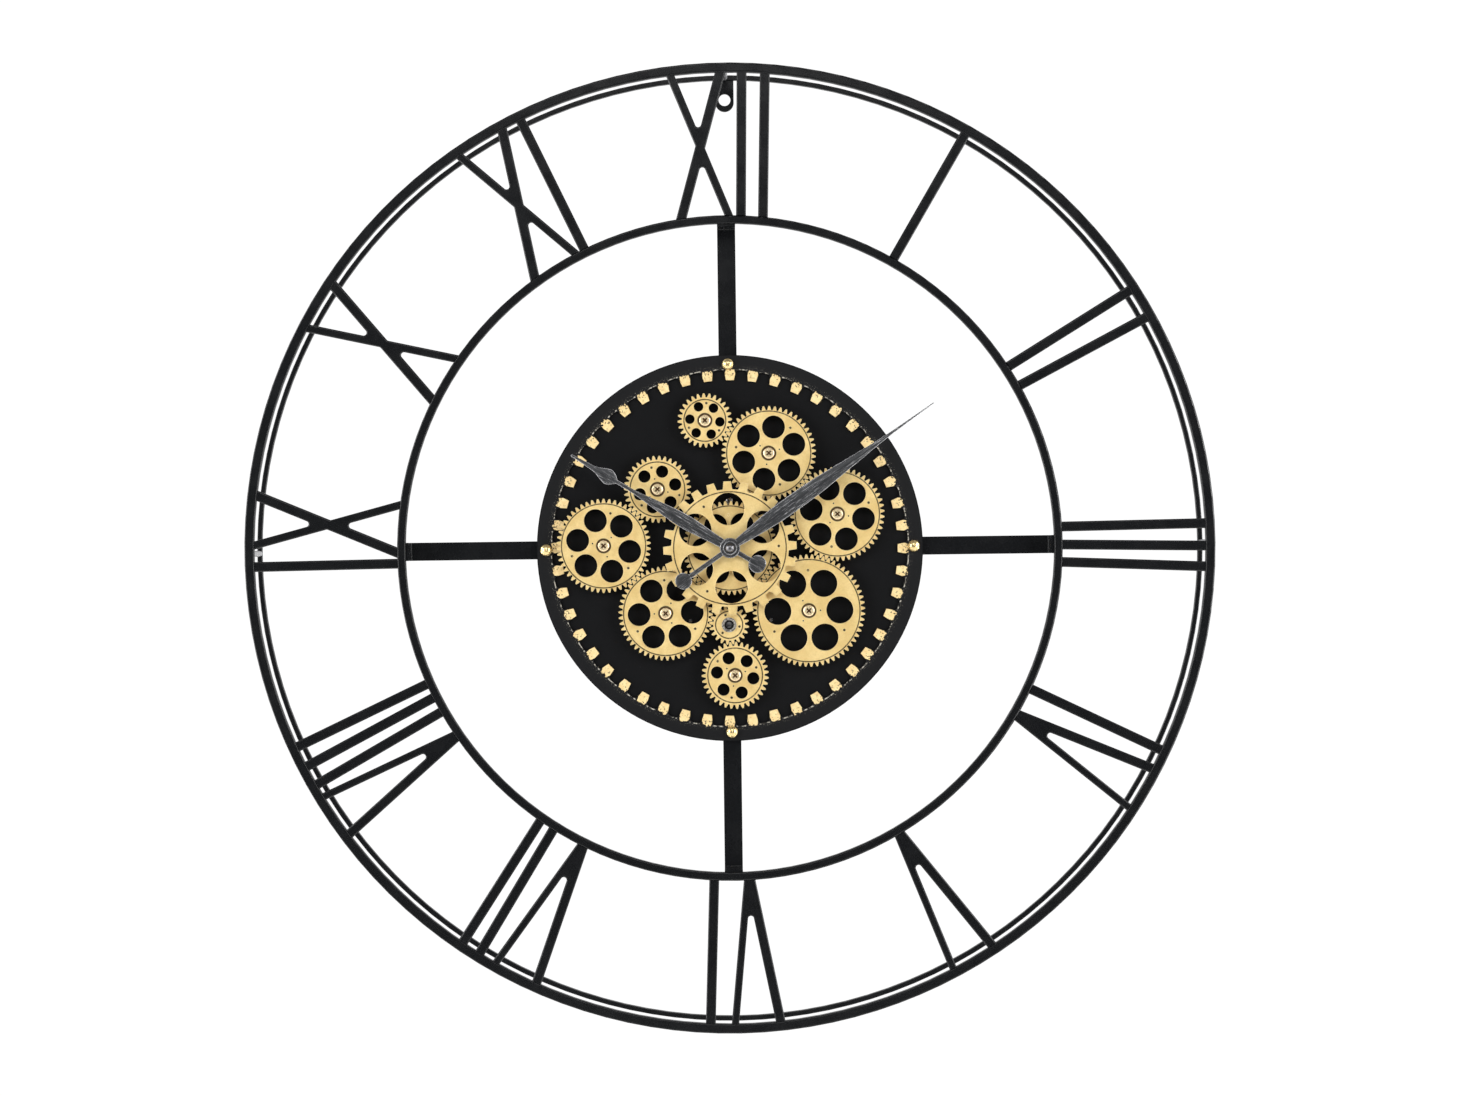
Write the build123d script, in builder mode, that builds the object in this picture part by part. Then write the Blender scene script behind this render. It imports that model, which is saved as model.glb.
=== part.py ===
"""Skeleton wall clock with a train of turning ornamental gears.

The clock faces -Y and hangs on a wall at Y = 0, with +Z up. The origin is the centre of the hanger hole
on the wall. "Depth" is the distance in front of the wall, and clock angles run clockwise from twelve.
All sizes are in millimetres.
"""
from build123d import *
from math import acos, asin, atan2, cos, degrees, pi, radians, sin, sqrt, tan
import os

os.makedirs("parts", exist_ok=True)

# ---------------------------------------------------------------- driving dimensions
HANGER_DROP = 377.0  # from the hanger hole down to the clock's axis

# outer frame
FRAME_BACK = 41.0  # depth of the numeral rings' rear face
FRAME_DEEP = 6.0  # front-to-back size of the numeral rings
FRONT_RING_OUTER = 400.0
FRONT_RING_INNER = 392.0
INNER_RING_OUTER = 274.2
INNER_RING_INNER = 267.2
REAR_RING_OUTER = 397.6
REAR_RING_INNER = 393.5
REAR_RING_DEEP = 4.0
BAR_ROUND = 1.4  # rounded edges of the ring and numeral bars
REAR_ROUND = 0.8
STANDOFF_RADIUS = 2.5
QUARTERS = (0, 90, 180, 270)

# hanger tab
TAB_THICK = 2.0
TAB_HALF_WIDTH = 7.7
TAB_END_DROP = 2.2  # centre of the tab's rounded end below the hole
HANGER_HOLE = 5.0

# numerals: a bar's foot stands on the inner ring and its head meets the front ring
NUMERAL_THICK = 5.0
I_WIDTH = 8.2
X_THICK, X_THIN = 8.2, 6.6
V_THICK, V_THIN = 7.9, 6.1
X_FOOT_SPREAD, X_HEAD_SPREAD = 8.2, 6.0  # degrees between the two bars of an X
V_HEAD_SPREAD = 5.45
V_FOOT_THICK, V_FOOT_THIN = -0.17, 0.36  # the two arms' offsets at the foot, degrees
STROKE_OVERRUN = 6.0
CROTCH_BAND = (285.0, 360.0)  # radii between which bars cross or join
CROTCH_ROUND = 2.4
NUMERALS = {  # hour: (letter, foot angle, head angle), measured from the hour's own direction
    1: [("I", 0.2, 0.3)],
    2: [("I", -2.4, -2.1), ("I", 1.4, 1.7)],
    3: [("I", -3.0, -2.3), ("I", 0.1, 0.4), ("I", 3.1, 2.9)],
    4: [("I", -4.2, -4.2), ("V", 0.9, 1.0)],
    5: [("V", 0.0, 0.0)],
    6: [("V", -2.7, -2.7), ("I", 3.4, 3.0)],
    7: [("V", -3.0, -2.6), ("I", 2.8, 2.4), ("I", 5.5, 4.8)],
    8: [("V", -3.8, -3.5), ("I", 1.1, 0.9), ("I", 3.9, 3.4), ("I", 6.5, 6.0)],
    9: [("I", -2.0, -1.6), ("X", 4.0, 4.0)],
    10: [("X", 1.25, 1.2)],
    11: [("X", -1.1, -0.9), ("I", 4.7, 4.6)],
    12: [("X", -3.6, -3.5), ("I", 2.6, 2.1), ("I", 6.4, 4.9)],
}

# dial and its spokes
DIAL_RADIUS = 160.4
DIAL_BACK, DIAL_FRONT = 26.0, 28.0
SPOKE_WIDTH = 15.0
SPOKE_THICK = 2.0
SPOKE_INNER_END = 142.0
SPOKE_LEG_FRONT = 45.0
SPOKE_BEND = 1.0  # inside radius of the bend
BOLT_CIRCLE = 152.5
BOLT_RADIUS = 2.5
BOLT_HEAD_RADIUS, BOLT_HEAD_DEEP = 4.6, 2.4
BOLT_REACH = 2.5  # how far a bolt runs into its dome nut
NUT_RADIUS = 4.7
NUT_SIDE, NUT_CROWN = 1.8, 3.0
RING_GEAR_THICK = 2.0
RING_GEAR_OUTER = 159.8
RING_GEAR_TIP, RING_GEAR_ROOT = 139.4, 147.9
RING_GEAR_TEETH = 48
RING_GEAR_TURN = 0.7
RING_TOOTH_TIP, RING_TOOTH_ROOT = 6.3, 10.0  # tooth widths
RING_GAP_ROUND = 3.2
CUT_MARGIN = 1.0  # how far a cut runs past the edge that it opens

# ornamental gears
MODULE = 1.5
MESH_GAP = 0.9  # added to each pair's centre distance, for free running
PRESSURE_ANGLE = radians(20)
TOOTH_THINNING = 0.06  # share of the tooth's width given up as backlash
DEDENDUM = 1.25  # tooth depth below the pitch circle, in modules
GEAR_BACK, GEAR_FRONT = 33.0, 36.0
GEAR_BORE = 3.06
JOURNAL_RADIUS = 3.0
SCREW_RECESS = 6.1  # counterbore round a gear's centre screw
RECESS_FLOOR = 35.0
GROOVE_WIDTH, GROOVE_DEEP = 0.4, 0.3
DOT_RADIUS, PIT_RADIUS, PIT_DEEP = 0.65, 1.1, 0.5
HOLE_EDGE = 0.3  # chamfer on the lightening holes
HOLE_COUNT, MARK_COUNT = 6, 3  # lightening holes; dots or pits
TOUCH = 0.01  # two sizes closer than this are the same edge's
CENTRE_TURN = 2.0  # clock angle of a tooth on the centre gear
# name: teeth, driving gear, clock angle from the driving gear's centre, clock angle of a lightening hole
GEARS = {
    "centre_gear": (50, None, 0.0, 28.2),
    "gear_lower_left": (50, "centre_gear", 225.2, 28.1),
    "gear_lower_right": (60, "centre_gear", 129.1, 89.4),
    "gear_right": (50, "gear_lower_right", 17.1, 100.8),
    "gear_upper_right": (50, "gear_right", 312.25, 71.1),
    "gear_top": (28, "gear_upper_right", 297.8, 35.7),
    "gear_left": (50, "gear_lower_left", 318.1, 42.6),
    "gear_upper_left": (35, "gear_left", 44.3, 75.3),
    "drive_pinion": (20, "gear_lower_left", 100.9, 0.0),
    "gear_bottom": (35, "drive_pinion", 173.9, 39.8),
}
# teeth: hole radius, hole circle, groove radius, dot circle, dot angle, pit circle, pit angle
GEAR_PATTERNS = {
    60: (11.2, 25.7, 42.3, 9.6, 0, 33.4, 30),
    50: (9.5, 22.0, 34.8, 9.4, 0, 27.5, -30),
    35: (5.1, 15.2, 22.6, 8.9, 30, 18.6, 30),
    28: (4.0, 12.5, 17.3, None, 0, 14.4, -30),
}
POST_FLANGE = 5.5
POST_FLANGE_FRONT = 32.7
POST_FRONT = 35.3
POST_TAIL = 2.5
POST_HOLE_BACK, POST_HOLE_DEEP = 29.0, 7.0
SCREW_HEAD_RADIUS, SCREW_HEAD_FRONT = 5.2, 37.5
SCREW_SHANK, SCREW_TIP = 1.5, 29.3
HEAD_EDGE = 0.35  # rounded edge of a screw head, as a share of its height
CROSS_LENGTH, CROSS_WIDTH, CROSS_DEEP = 5.0, 1.3, 1.3
PINION_COLLAR_BACK, PINION_COLLAR_FRONT = 1.0, 0.8  # how far the collar stands behind and in front
PINION_SOCKET, PINION_SOCKET_DEEP = 3.9, 2.0
PINION_BORE_DEEP = 5.0
PINION_GROOVE, PINION_PIT_CIRCLE, PINION_PIT_ANGLE = 11.2, 8.6, 100

# centre wheel, fixed in front of the centre gear
CENTRE_WHEEL_BACK, CENTRE_WHEEL_FRONT = 40.0, 43.0
CENTRE_WHEEL_TEETH = 24
CENTRE_WHEEL_TIP, CENTRE_WHEEL_ROOT = 55.0, 48.5
CENTRE_TOOTH_TIP, CENTRE_TOOTH_ROOT = 6.2, 8.2
CENTRE_WHEEL_TURN = -1.7
CENTRE_HOLE, CENTRE_HOLE_CIRCLE = 13.4, 32.3
CENTRE_GROOVE, CENTRE_PIT_CIRCLE = 46.4, 40.3
CENTRE_TOOTH_ROUND = 0.8
CENTRE_TOOTH_OVERLAP = 2.0  # how far a tooth's root runs into the rim
HUB_BACK, HUB_RADIUS, SPIGOT_RADIUS = 31.3, 8.0, 7.0

# hand shafts, one inside the other
BUSHING_OUTER, BUSHING_BORE = 4.5, 3.06
BUSHING_FRONT = 44.6
BUSHING_BACK, FLANGE_RADIUS, FLANGE_FRONT = 22.5, 5.2, 24.0
BUSHING_NOSE = 4.3  # radius in front of the clip
BUSHING_GAP = 0.06  # running gap of the centre gear's hub
BUSHING_NUT_RADIUS, BUSHING_NUT_THICK = 8.1, 2.9
GASKET_RADIUS = 12.0
HOUR_TUBE_OUTER, HOUR_TUBE_BORE = 3.0, 1.66
HOUR_TUBE_FRONT = 46.6
ARBOR_RADIUS = 1.6
ARBOR_THREAD, ARBOR_FRONT = 1.3, 52.6
CLIP_BACK, CLIP_THICK, CLIP_GROOVE, CLIP_OPENING = 43.4, 0.8, 3.9, 4.4

# hands
MINUTE_ANGLE, HOUR_ANGLE = 55.2, 301.0
MINUTE_BACK, HOUR_BACK, HAND_THICK = 48.0, 45.2, 1.2
HAND_HUB, HOUR_HUB = 8.3, 7.7
MINUTE_SEAT, MINUTE_BOSS = 47.4, 5.0  # the minute hand's seat on its arbor
MINUTE_BOSS_OVERLAP = 0.1
NUT_FACE, HUB_RISE, HUB_SLOPE = 50.2, 0.4, 2.2  # front of the minute hub and its sloping edge
HOUR_SEAT, HOUR_BOSS = 44.9, 5.5
HAND_NUT_RADIUS, HAND_NUT_SIDE, HAND_NUT_CROWN, HAND_NUT_BORE = 3.8, 0.9, 2.8, 2.4
MINUTE_BLADE = [
    (0, 2.6), (17, 4.2), (42, 6.4), (66, 6.9), (92, 6.2), (125, 3.6), (158, 1.4), (206, 0.45),
]
MINUTE_TAIL, MINUTE_DISC = 47.0, 6.8
HOUR_BLADE = [(0, 3.4), (20, 4.4), (36, 5.7), (50, 5.6), (69, 3.9), (90, 1.7), (110, 1.5)]
HOUR_LEAF = [(108, 1.5), (111.5, 4.4), (116, 6.4), (121, 5.1), (128, 2.5), (138, 1.6), (150, 1.3)]
HOUR_TAIL, HOUR_DISC = 26.2, 7.2
HOUR_TIP_ROUND = 1.7
TAIL_STEM = 1.9  # half the width of the stem behind the hub

# quartz movement, behind the dial's centre
UNIT_HALF = 28.0  # half the width of both cases
WALL = 1.5
MOVEMENT_BACK, MOVEMENT_FRONT = 11.0, 25.5
MOVEMENT_TOP, MOVEMENT_BOTTOM = 28.0, -28.0
MOVEMENT_SHELF = -10.0  # top of the wall above the battery bay
ARBOR_BEARING_BACK, ROTOR_BEARING_BACK = 9.7, 10.2  # floors of the cover's blind bearings
COVER_THICK = 1.5
CASE_ROUND = 3.0
SHAFT_CLEARANCE = 0.06  # radial gap in the cases' bearings
LUG_SCREW_HEIGHT = 39.0
LUG_WIDTH, LUG_THICK = 10.0, 2.0
MOTION_OFFSET = 6.12  # motion wheel's arbor above the clock's axis
CANNON_MODULE, CANNON_TEETH, MOTION_TEETH = 0.25, 12, 36
HOUR_MODULE, MOTION_PINION_TEETH, HOUR_WHEEL_TEETH = 0.24, 10, 40
CANNON_BACK, CANNON_THICK = 14.4, 1.8
HOUR_WHEEL_BACK, HOUR_WHEEL_THICK = 18.8, 1.4
MOTION_WHEEL_BACK, MOTION_WHEEL_THICK = 14.8, 1.0
MOTION_PINION_BACK, MOTION_PINION_LONG = 15.8, 4.8
KNOB_BACK, KNOB_FRONT, KNOB_RADIUS, KNOB_EDGE = 6.2, 9.0, 7.0, 0.6
KNOB_FLUTES, FLUTE_RADIUS = 24, 0.35
KNOB_STEM, MOTION_PIVOT = 1.0, 0.6
MOTION_SECTION = [  # (depth, radius) corners of the setting knob and its arbor
    (KNOB_BACK, 0), (KNOB_BACK, KNOB_RADIUS - KNOB_EDGE), (KNOB_BACK + KNOB_EDGE, KNOB_RADIUS),
    (KNOB_FRONT, KNOB_RADIUS), (KNOB_FRONT, 2.2), (9.2, 2.2), (9.2, KNOB_STEM), (14.6, KNOB_STEM),
    (14.6, 0.9), (21.6, 0.9), (21.6, MOTION_PIVOT), (25.0, MOTION_PIVOT), (25.0, 0),
]
ARBOR_PIVOT = 0.8
ARBOR_SECTION = [  # (depth, radius) corners of the minute arbor
    (9.8, 0), (9.8, ARBOR_PIVOT), (11.3, ARBOR_PIVOT), (11.3, 1.1), (17.6, 1.1), (17.6, ARBOR_RADIUS),
    (MINUTE_SEAT, ARBOR_RADIUS), (MINUTE_SEAT, ARBOR_THREAD), (ARBOR_FRONT, ARBOR_THREAD),
    (ARBOR_FRONT, 0),
]
ROTOR_AT = (14.0, 12.0)
ROTOR_PIVOT, ROTOR_MAGNET = 0.4, 1.6
ROTOR_SECTION = [  # (depth, radius) corners of the step rotor
    (10.4, 0), (10.4, ROTOR_PIVOT), (15.6, ROTOR_PIVOT), (15.6, ROTOR_MAGNET), (18.6, ROTOR_MAGNET),
    (18.6, ROTOR_PIVOT), (24.7, ROTOR_PIVOT), (24.7, 0),
]
ROTOR_PINION_BACK, ROTOR_PINION_LONG, ROTOR_TEETH, ROTOR_MODULE = 19.4, 1.6, 8, 0.2
STATOR_BACK, STATOR_THICK, STATOR_AT, STATOR_SIZE = 16.6, 1.0, (14.0, 15.0), (20.0, 16.0)
STATOR_WINDOW_AT, STATOR_WINDOW, STATOR_GAP = (14.0, 21.0), (12.4, 5.0), 0.5
WINDING_DEPTH, WINDING_RADIUS = 17.1, 2.4
BOARD_BACK, BOARD_THICK, BOARD_BOX = 12.4, 1.0, (-25.0, -7.5, 2.0, 25.0)  # box: left, right, bottom, top
BOARD_BLOB, BOARD_BLOB_AT = 3.0, (-17.0, 18.0)
CRYSTAL_SIZE, CRYSTAL_LONG, CRYSTAL_AT = 2.0, 6.0, (-21.0, 8.0)
PIVOT_HOLES = {"motion": 1.2, "rotor": 1.0}  # how deep the case's two blind bearings are

# drive unit of the ornamental gears, below the movement
DRIVE_BACK = 7.5
DRIVE_TOP, DRIVE_BOTTOM = -30.0, -124.0
DRIVE_SHELF = -104.5
DRIVE_MODULE, DRIVE_MESH_GAP = 0.5, 0.2
OUTPUT_TEETH, REDUCTION_TEETH, SMALL_PINION_TEETH = 50, 40, 10
REDUCTION_DIRECTION, MOTOR_DIRECTION = 150.0, 200.0
MOTOR_RADIUS = 8.0
DRIVE_LUG = 33.5
DRIVE_LUG_HEIGHT = -60.0
DRIVE_LUG_BACK = 24.0
DRIVE_SCREW_BACK, FIXING_HEAD_RADIUS, FIXING_HEAD_DEEP = 22.0, 3.0, 1.8
DRIVE_BOSS, DRIVE_BOSS_LONG = 6.0, 4.5  # boss through the dial round the output shaft
OUTPUT_SHAFT, OUTPUT_JOURNAL, OUTPUT_FRONT = 2.5, 2.0, 35.6
OUTPUT_GEAR_BACK, OUTPUT_GEAR_THICK = 20.6, 2.6
SHAFT_BACK, OUTPUT_STEP = 6.9, 12.0
BEARING_BACK, BEARING_DEEP = 6.7, 1.0  # blind bearings in the drive's cover
REDUCTION_SHAFT, REDUCTION_LONG = 1.0, 18.3
REDUCTION_GEAR_BACK, REDUCTION_GEAR_THICK, REDUCTION_PINION_LONG = 17.4, 2.5, 3.6
MOTOR_BACK, MOTOR_LONG, MOTOR_ROUND = 8.3, 8.0, 0.8
MOTOR_NOSE_RADIUS, MOTOR_NOSE = 2.2, 0.5
MOTOR_SHAFT_BACK, MOTOR_SHAFT_LONG, MOTOR_SHAFT = 8.7, 12.2, 0.75
MOTOR_BORE_BACK = 8.6
MOTOR_PINION_BACK, MOTOR_PINION_LONG = 17.1, 3.1
SWITCH_AT = (16.5, -42.0)
SWITCH_TRAVEL = 3.0
SWITCH_GAP = 0.3  # between the slider's neck and its slot
SWITCH_BACK, SWITCH_LONG, SWITCH_NECK = 3.6, 4.4, (2.0, 1.5)  # neck: half width, half height
SWITCH_PLATE_BACK, SWITCH_PLATE_THICK, SWITCH_PLATE = 7.8, 1.4, (4.0, 3.2)

# AA cells
CELL_RADIUS, CELL_LENGTH, CELL_NUB_RADIUS, CELL_NUB = 7.1, 50.0, 2.7, 1.2
CELL_PLACES = [(-19.0, 16.9), (-114.0, 17.3)]  # (height, depth) of each cell's axis
CELL_LEFT = -25.2  # flat end of each cell
CONTACT_THICK, CONTACT_HALF, SPRING_RADIUS = 0.5, 4.0, 3.0


# ---------------------------------------------------------------- shared geometry
def facing(depth, x=0.0, z=0.0):
    """Plane parallel to the wall; x and z are measured from the clock's axis."""
    return Plane(origin=(x, -depth, z - HANGER_DROP), x_dir=(1, 0, 0), z_dir=(0, -1, 0))


def pointing(depth, angle):
    """Plane parallel to the wall whose own x runs outwards at a clock angle."""
    a = radians(angle)
    return Plane(origin=(0, -depth, -HANGER_DROP), x_dir=(sin(a), 0, cos(a)), z_dir=(0, -1, 0))


def across(x, depth, z):
    """Plane square to X, at x and z from the clock's axis; it faces right."""
    return Plane(origin=(x, -depth, z - HANGER_DROP), x_dir=(0, 1, 0), z_dir=(1, 0, 0))


def radial_section(angle):
    """Plane through the clock's axis: its own x is the depth, and its y runs outwards at a clock angle."""
    a = radians(angle)
    return Plane(origin=(0, 0, -HANGER_DROP), x_dir=(0, -1, 0), z_dir=(-cos(a), 0, sin(a)))


def at_clock(angle, radius):
    """Point at a clock angle and a radius."""
    return (radius * sin(radians(angle)), radius * cos(radians(angle)))


def moved(start, angle, distance):
    """Point reached from start along a clock angle."""
    dx, dz = at_clock(angle, distance)
    return (start[0] + dx, start[1] + dz)


def slab(depth, thickness, shape, mode=Mode.ADD, at=(0.0, 0.0)):
    """Plate parallel to the wall, from depth forwards; shape() draws its outline."""
    with BuildSketch(facing(depth, *at)) as outline:
        shape()
    extrude(outline.sketch, amount=thickness, mode=mode)


def disc(depth, thickness, radius, mode=Mode.ADD, at=(0.0, 0.0)):
    """Round plate parallel to the wall."""
    slab(depth, thickness, lambda: Circle(radius), mode, at)


def block(depth, thickness, left, right, bottom, top, mode=Mode.ADD):
    """Rectangular block between two heights and two sides."""
    centre = ((left + right) / 2, (bottom + top) / 2)
    slab(depth, thickness, lambda: Rectangle(right - left, top - bottom), mode, centre)


def turned(profile, at=(0.0, 0.0), mode=Mode.ADD):
    """Turned piece square to the wall; profile holds (depth, radius) corners and closes along its axis."""
    section = Plane(origin=(at[0], 0, at[1] - HANGER_DROP), x_dir=(0, -1, 0), z_dir=(-1, 0, 0))
    with BuildSketch(section) as half:
        Polygon(*profile, align=None)
    revolve(half.sketch, axis=Axis(section.origin, section.x_dir), mode=mode)


def domed(depth, height, radius, crown, at=(0.0, 0.0)):
    """Domed cap: a short cylinder with a spherical front of the given crown."""
    section = Plane(origin=(at[0], 0, at[1] - HANGER_DROP), x_dir=(0, -1, 0), z_dir=(-1, 0, 0))
    shoulder = depth + height
    with BuildSketch(section) as half:
        with BuildLine():
            Polyline((shoulder + crown, 0), (depth, 0), (depth, radius), (shoulder, radius))
            ball = (radius**2 + crown**2) / (2 * crown)
            half_arc = asin(radius / ball) / 2
            middle = (shoulder + crown - ball * (1 - cos(half_arc)), ball * sin(half_arc))
            ThreePointArc((shoulder, radius), middle, (shoulder + crown, 0))
        make_face()
    revolve(half.sketch, axis=Axis(section.origin, section.x_dir))


def involute(angle):
    """Involute function of a pressure angle."""
    return tan(angle) - angle


def spur_face(teeth, module, turn):
    """Face of a spur gear with a tooth centred on the clock angle turn."""
    pitch = module * teeth / 2
    base = pitch * cos(PRESSURE_ANGLE)
    root, tip = pitch - DEDENDUM * module, pitch + module
    foot = max(base, root)
    half_tooth = (1 - TOOTH_THINNING) * pi / (2 * teeth) + involute(PRESSURE_ANGLE)

    def half_angle(radius):
        return degrees(half_tooth - involute(acos(min(1.0, base / radius))))

    def point(angle, radius):
        return at_clock(turn - angle, radius)

    step = 360 / teeth
    radii = (foot, (foot + tip) / 2, tip)
    with BuildSketch() as gear_face:
        edges = []
        for tooth in range(teeth):
            centre = step * tooth
            rising = [point(centre - half_angle(r), r) for r in radii]
            falling = [point(centre + half_angle(r), r) for r in reversed(radii)]
            root_start = point(centre + half_angle(foot), root)
            root_middle = point(centre + step / 2, root)
            root_end = point(centre + step - half_angle(foot), root)
            edges.append(ThreePointArc(*rising, mode=Mode.PRIVATE))
            edges.append(ThreePointArc(rising[-1], point(centre, tip), falling[0], mode=Mode.PRIVATE))
            edges.append(ThreePointArc(*falling, mode=Mode.PRIVATE))
            edges.append(ThreePointArc(root_start, root_middle, root_end, mode=Mode.PRIVATE))
            if foot > root:
                next_foot = point(centre + step - half_angle(foot), foot)
                edges.append(Line(falling[-1], root_start, mode=Mode.PRIVATE))
                edges.append(Line(root_end, next_foot, mode=Mode.PRIVATE))
        make_face(edges)
    return gear_face.sketch


def spur(depth, thickness, teeth, module, turn, at=(0.0, 0.0)):
    """Spur gear blank with its teeth, added to the part being built."""
    slab(depth, thickness, lambda: add(spur_face(teeth, module, turn)), Mode.ADD, at)


def meshed_turn(teeth, turn, direction, next_teeth):
    """Turn that puts the next gear in mesh, seen along the clock angle from gear to next gear."""
    share = teeth * (direction - turn) / 360
    return direction + 180 - (0.5 - share) * 360 / next_teeth


def ring_of(count, radius, start, shape, mode=Mode.SUBTRACT):
    """Repeat shape() round the centre of a sketch, the first at a clock angle."""
    with Locations(*[at_clock(start + 360 * k / count, radius) for k in range(count)]):
        shape(mode)


def pan_screw(seat, head_front, head_radius, shank_radius, tip, at):
    """Pan-head screw with a cross recess; its shank runs back from the seat to the tip."""
    edge = HEAD_EDGE * (head_front - seat)
    turned([(tip, 0), (tip, shank_radius), (seat, shank_radius), (seat, head_radius),
            (head_front - 2 * edge, head_radius), (head_front - edge, head_radius - edge / 2),
            (head_front, head_radius - 2 * edge), (head_front, 0)], at)
    for rotation in (45, 135):
        cross = lambda: Rectangle(CROSS_LENGTH, CROSS_WIDTH, rotation=rotation)
        slab(head_front - CROSS_DEEP, CROSS_DEEP, cross, Mode.SUBTRACT, at)


# Gear centres and turns, each worked out from the gear that drives it.
GEAR_AT = {"centre_gear": (0.0, 0.0)}
GEAR_TURN = {"centre_gear": CENTRE_TURN}
for gear_name, (gear_teeth, driver, gear_direction, _) in GEARS.items():
    if driver:
        driver_teeth = GEARS[driver][0]
        spacing = MODULE * (driver_teeth + gear_teeth) / 2 + MESH_GAP
        GEAR_AT[gear_name] = moved(GEAR_AT[driver], gear_direction, spacing)
        GEAR_TURN[gear_name] = meshed_turn(driver_teeth, GEAR_TURN[driver], gear_direction, gear_teeth)
POSTED_GEARS = [name for name in GEARS if name not in ("centre_gear", "drive_pinion")]
OUTPUT_AT = GEAR_AT["drive_pinion"]
REDUCTION_AT = moved(OUTPUT_AT, REDUCTION_DIRECTION,
                     DRIVE_MODULE * (OUTPUT_TEETH + SMALL_PINION_TEETH) / 2 + DRIVE_MESH_GAP)
MOTOR_AT = moved(REDUCTION_AT, MOTOR_DIRECTION,
                 DRIVE_MODULE * (REDUCTION_TEETH + SMALL_PINION_TEETH) / 2 + DRIVE_MESH_GAP)

# ---------------------------------------------------------------- outer frame
with BuildPart() as front_ring:
    with BuildSketch(facing(FRAME_BACK)):
        Circle(FRONT_RING_OUTER)
        Circle(FRONT_RING_INNER, mode=Mode.SUBTRACT)
    extrude(amount=FRAME_DEEP)
    fillet(front_ring.edges().filter_by(GeomType.CIRCLE), BAR_ROUND)
front_ring.part.label = "front_ring"
export_step(front_ring.part, "parts/front_ring.step")

with BuildPart() as inner_ring:
    with BuildSketch(facing(FRAME_BACK)):
        Circle(INNER_RING_OUTER)
        Circle(INNER_RING_INNER, mode=Mode.SUBTRACT)
    extrude(amount=FRAME_DEEP)
    fillet(inner_ring.edges().filter_by(GeomType.CIRCLE), BAR_ROUND)
inner_ring.part.label = "inner_ring"
export_step(inner_ring.part, "parts/inner_ring.step")

with BuildPart() as rear_ring:
    with BuildSketch(facing(0)):
        Circle(REAR_RING_OUTER)
        Circle(REAR_RING_INNER, mode=Mode.SUBTRACT)
    extrude(amount=REAR_RING_DEEP)
    fillet(rear_ring.faces().sort_by(Axis.Y)[0].edges(), REAR_ROUND)
rear_ring.part.label = "rear_ring"
export_step(rear_ring.part, "parts/rear_ring.step")

with BuildPart() as ring_standoffs:
    for quarter in QUARTERS:
        post_at = at_clock(quarter, (REAR_RING_OUTER + REAR_RING_INNER) / 2)
        disc(REAR_RING_DEEP, FRAME_BACK - REAR_RING_DEEP, STANDOFF_RADIUS, at=post_at)
ring_standoffs.part.label = "ring_standoffs"
export_step(ring_standoffs.part, "parts/ring_standoffs.step")

with BuildPart() as hanger_tab:
    with BuildSketch(facing(0)):
        end_height = HANGER_DROP - TAB_END_DROP
        with Locations((0, (REAR_RING_OUTER + end_height) / 2)):
            Rectangle(2 * TAB_HALF_WIDTH, REAR_RING_OUTER - end_height)
        with Locations((0, end_height)):
            Circle(TAB_HALF_WIDTH)
        Circle(REAR_RING_INNER, mode=Mode.INTERSECT)
        with Locations((0, HANGER_DROP)):
            Circle(HANGER_HOLE, mode=Mode.SUBTRACT)
    extrude(amount=TAB_THICK)
hanger_tab.part.label = "hanger_tab"
export_step(hanger_tab.part, "parts/hanger_tab.step")


# ---------------------------------------------------------------- numerals
def stroke(foot_angle, head_angle, width):
    """One bar, from the inner ring to the front ring and a little beyond each."""
    foot = Vector(*at_clock(foot_angle, INNER_RING_OUTER))
    head = Vector(*at_clock(head_angle, FRONT_RING_INNER))
    run = head - foot
    with Locations((foot + head) / 2):
        Rectangle(run.length + 2 * STROKE_OVERRUN, width, rotation=degrees(atan2(run.Y, run.X)))


def letter_bars(letter, foot, head):
    """The bars of one letter; thick and thin bars follow the stroke order of a Roman capital."""
    if letter == "I":
        stroke(foot, head, I_WIDTH)
    elif letter == "V":
        stroke(foot + V_FOOT_THICK, head - V_HEAD_SPREAD / 2, V_THICK)
        stroke(foot + V_FOOT_THIN, head + V_HEAD_SPREAD / 2, V_THIN)
    else:
        stroke(foot - X_FOOT_SPREAD / 2, head + X_HEAD_SPREAD / 2, X_THICK)
        stroke(foot + X_FOOT_SPREAD / 2, head - X_HEAD_SPREAD / 2, X_THIN)


for hour, letters in NUMERALS.items():
    with BuildPart() as numeral:
        with BuildSketch(facing(FRAME_BACK + (FRAME_DEEP - NUMERAL_THICK) / 2)) as glyphs:
            for letter, foot, head in letters:
                letter_bars(letter, 30 * hour + foot, 30 * hour + head)
            Circle(FRONT_RING_INNER, mode=Mode.INTERSECT)
            Circle(INNER_RING_OUTER, mode=Mode.SUBTRACT)
            near, far = CROTCH_BAND
            crotches = [v for v in glyphs.vertices() if near < Vector(v).length < far]
            if crotches:
                fillet(crotches, CROTCH_ROUND)
        extrude(amount=NUMERAL_THICK)
        outline = numeral.faces().filter_by(Axis.Y).edges()
        is_end = lambda e: e.geom_type == GeomType.CIRCLE and e.radius >= INNER_RING_INNER
        bar_edges = outline.filter_by(lambda e: not is_end(e))
        fillet(bar_edges, BAR_ROUND)
    numeral.part.label = f"numeral_{hour:02d}"
    export_step(numeral.part, f"parts/numeral_{hour:02d}.step")

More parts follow.
